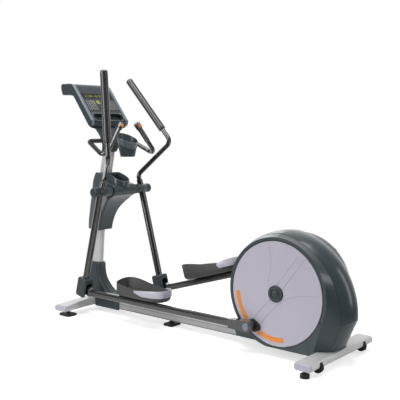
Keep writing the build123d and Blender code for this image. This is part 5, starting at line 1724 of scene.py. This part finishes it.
@dataclass
class Studio:
    """Camera, lamps, world and floor: a white backdrop behind the machine and a dim room in front of it."""

    camera_place: Triple = (2.95717, -3.57557, 1.33581)
    camera_turn: float = 39.514
    camera_drop: float = 5.862
    lens: float = 65.54
    sensor: float = 36.0
    view_end: float = 200.0
    ambient: float = 0.3
    dim_room: float = 0.1
    dim_range: Pair = (-0.7, 0.1)
    floor_half: float = 40.0
    floor_tone: float = 0.86
    floor_roughness: float = 0.9
    floor_specular: float = 0.1
    floor_lift: float = 0.55
    floor_fade: Pair = (0.9, 2.6)
    lamp_aim: Triple = (0.0, 0.0, 0.7)
    lamps: tuple[tuple[str, Triple, Pair, float], ...] = (
        ("left_softbox", (-1.5, -4.4, 2.1), (2.0, 3.4), 125.0),
        ("right_softbox", (4.4, 1.2, 1.9), (1.2, 3.2), 42.0),
        ("top_softbox", (0.4, -0.8, 4.4), (3.2, 2.4), 125.0),
        ("back_softbox", (-3.2, 3.4, 2.6), (2.4, 2.4), 18.0),
    )

    def build(self) -> None:
        """Sets up the studio."""
        bpy.context.scene.view_settings.view_transform = "Standard"
        self._camera()
        self._world()
        self._floor()
        for lamp in self.lamps:
            self._lamp(*lamp)

    def _camera(self) -> None:
        """The camera at the photograph's angle."""
        data = bpy.data.cameras.new("camera")
        data.lens = self.lens
        data.sensor_width = self.sensor
        data.clip_end = self.view_end
        camera = bpy.data.objects.new("camera", data)
        camera.location = self.camera_place
        camera.rotation_euler = (math.radians(90 - self.camera_drop), 0.0, math.radians(self.camera_turn))
        bpy.context.scene.collection.objects.link(camera)
        bpy.context.scene.camera = camera

    def _level(self, tree: Tree, direction: Socket) -> Socket:
        """How bright the surroundings are: white to look at, in reflections white behind and dim in front.

        Args:
            tree: the shader tree that takes the nodes.
            direction: the unit vector from the machine to the spot.

        Returns:
            The strength.
        """
        path = tree.nodes.new("ShaderNodeLightPath").outputs
        turn = math.radians(self.camera_turn)
        front = (math.sin(turn), -math.cos(turn), 0.0)
        facing = add_node(tree, "ShaderNodeVectorMath", {0: direction, 1: front}, operation="DOT_PRODUCT")
        fall = {
            "Value": facing.outputs["Value"],
            "From Min": self.dim_range[0],
            "From Max": self.dim_range[1],
            "To Min": 1.0,
            "To Max": self.dim_room,
        }
        mirrored = add_node(tree, "ShaderNodeMapRange", fall).outputs[0]
        sharp = combine(tree, "MAXIMUM", path["Is Glossy Ray"], path["Is Transmission Ray"])
        mix = add_node(tree, "ShaderNodeMix", {"Factor": sharp, "A": self.ambient, "B": mirrored})
        return combine(tree, "MAXIMUM", mix.outputs["Result"], path["Is Camera Ray"])

    def _world(self) -> None:
        """The surroundings above the floor."""
        world = bpy.data.worlds.new("studio")
        world.use_nodes = True
        bpy.context.scene.world = world
        tree = world.node_tree
        direction = tree.nodes.new("ShaderNodeTexCoord").outputs["Generated"]
        white = {"Color": (1.0, 1.0, 1.0, 1.0), "Strength": self._level(tree, direction)}
        fill(tree, tree.nodes["Background"], white)

    def _floor(self) -> None:
        """A pale floor that turns to plain white away from the machine."""
        half, tone = self.floor_half, self.floor_tone
        mesh = bpy.data.meshes.new("floor")
        corners = [(-half, -half, 0), (half, -half, 0), (half, half, 0), (-half, half, 0)]
        mesh.from_pydata(corners, [], [(0, 1, 2, 3)])
        floor = bpy.data.objects.new("floor", mesh)
        bpy.context.scene.collection.objects.link(floor)
        material = bpy.data.materials.new("floor_white")
        material.use_nodes = True
        tree = material.node_tree
        seen = tree.nodes.new("ShaderNodeLightPath").outputs["Is Camera Ray"]
        paint = tree.nodes["Principled BSDF"]
        coat = {
            "Base Color": (tone, tone, tone, 1.0),
            "Roughness": self.floor_roughness,
            "Specular IOR Level": self.floor_specular,
            "Emission Color": (1.0, 1.0, 1.0, 1.0),
            "Emission Strength": combine(tree, "MULTIPLY", seen, self.floor_lift),
        }
        fill(tree, paint, coat)
        place = tree.nodes.new("ShaderNodeTexCoord").outputs["Object"]
        heading = add_node(tree, "ShaderNodeVectorMath", {0: place}, operation="NORMALIZE").outputs["Vector"]
        glow = add_node(tree, "ShaderNodeEmission", {"Strength": self._level(tree, heading)})
        distance = add_node(tree, "ShaderNodeVectorMath", {0: place}, operation="LENGTH").outputs["Value"]
        span = {"Value": distance, "From Min": self.floor_fade[0], "From Max": self.floor_fade[1]}
        fade = add_node(tree, "ShaderNodeMapRange", span).outputs[0]
        mix = add_node(tree, "ShaderNodeMixShader", {"Fac": fade, 1: paint.outputs[0], 2: glow.outputs[0]})
        fill(tree, tree.nodes["Material Output"], {"Surface": mix.outputs[0]})
        mesh.materials.append(material)

    def _lamp(self, name: str, place: Triple, size: Pair, power: float) -> None:
        """One softbox that looks at the machine.

        Args:
            name: the lamp's name.
            place: where it stands.
            size: its width and height.
            power: its strength in watts.
        """
        data = bpy.data.lights.new(name, "AREA")
        data.shape = "RECTANGLE"
        data.size, data.size_y = size
        data.energy = power
        lamp = bpy.data.objects.new(name, data)
        lamp.location = place
        aim = Vector(self.lamp_aim) - Vector(place)
        lamp.rotation_euler = aim.to_track_quat("-Z", "Y").to_euler()
        bpy.context.scene.collection.objects.link(lamp)


def dress_nodes() -> None:
    """Gives every CAD node its finish."""
    slots = {part["node"]: part["material_slot"] for part in FRAME["record"]["subparts"]}
    for name, node in FRAME["nodes"].items():
        finish = NODE_FINISH.get(name) or SLOT_FINISH[slots[name]]
        node.data.materials.clear()
        node.data.materials.append(finish.material())


def main() -> None:
    """Builds the scene piece by piece."""
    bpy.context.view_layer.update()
    dress_nodes()
    DriveUnit().build()
    Console().build()
    CupHolder().build()
    TrayLip().build()
    Base().build()
    for side in Side:
        SwingArm(side).build()
        PedalStep(side).build()
        TransportWheel(side).build()
    Studio().build()


if __name__ == "__main__":
    logging.basicConfig(level=logging.INFO, format="%(message)s")
    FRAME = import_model()
    main()
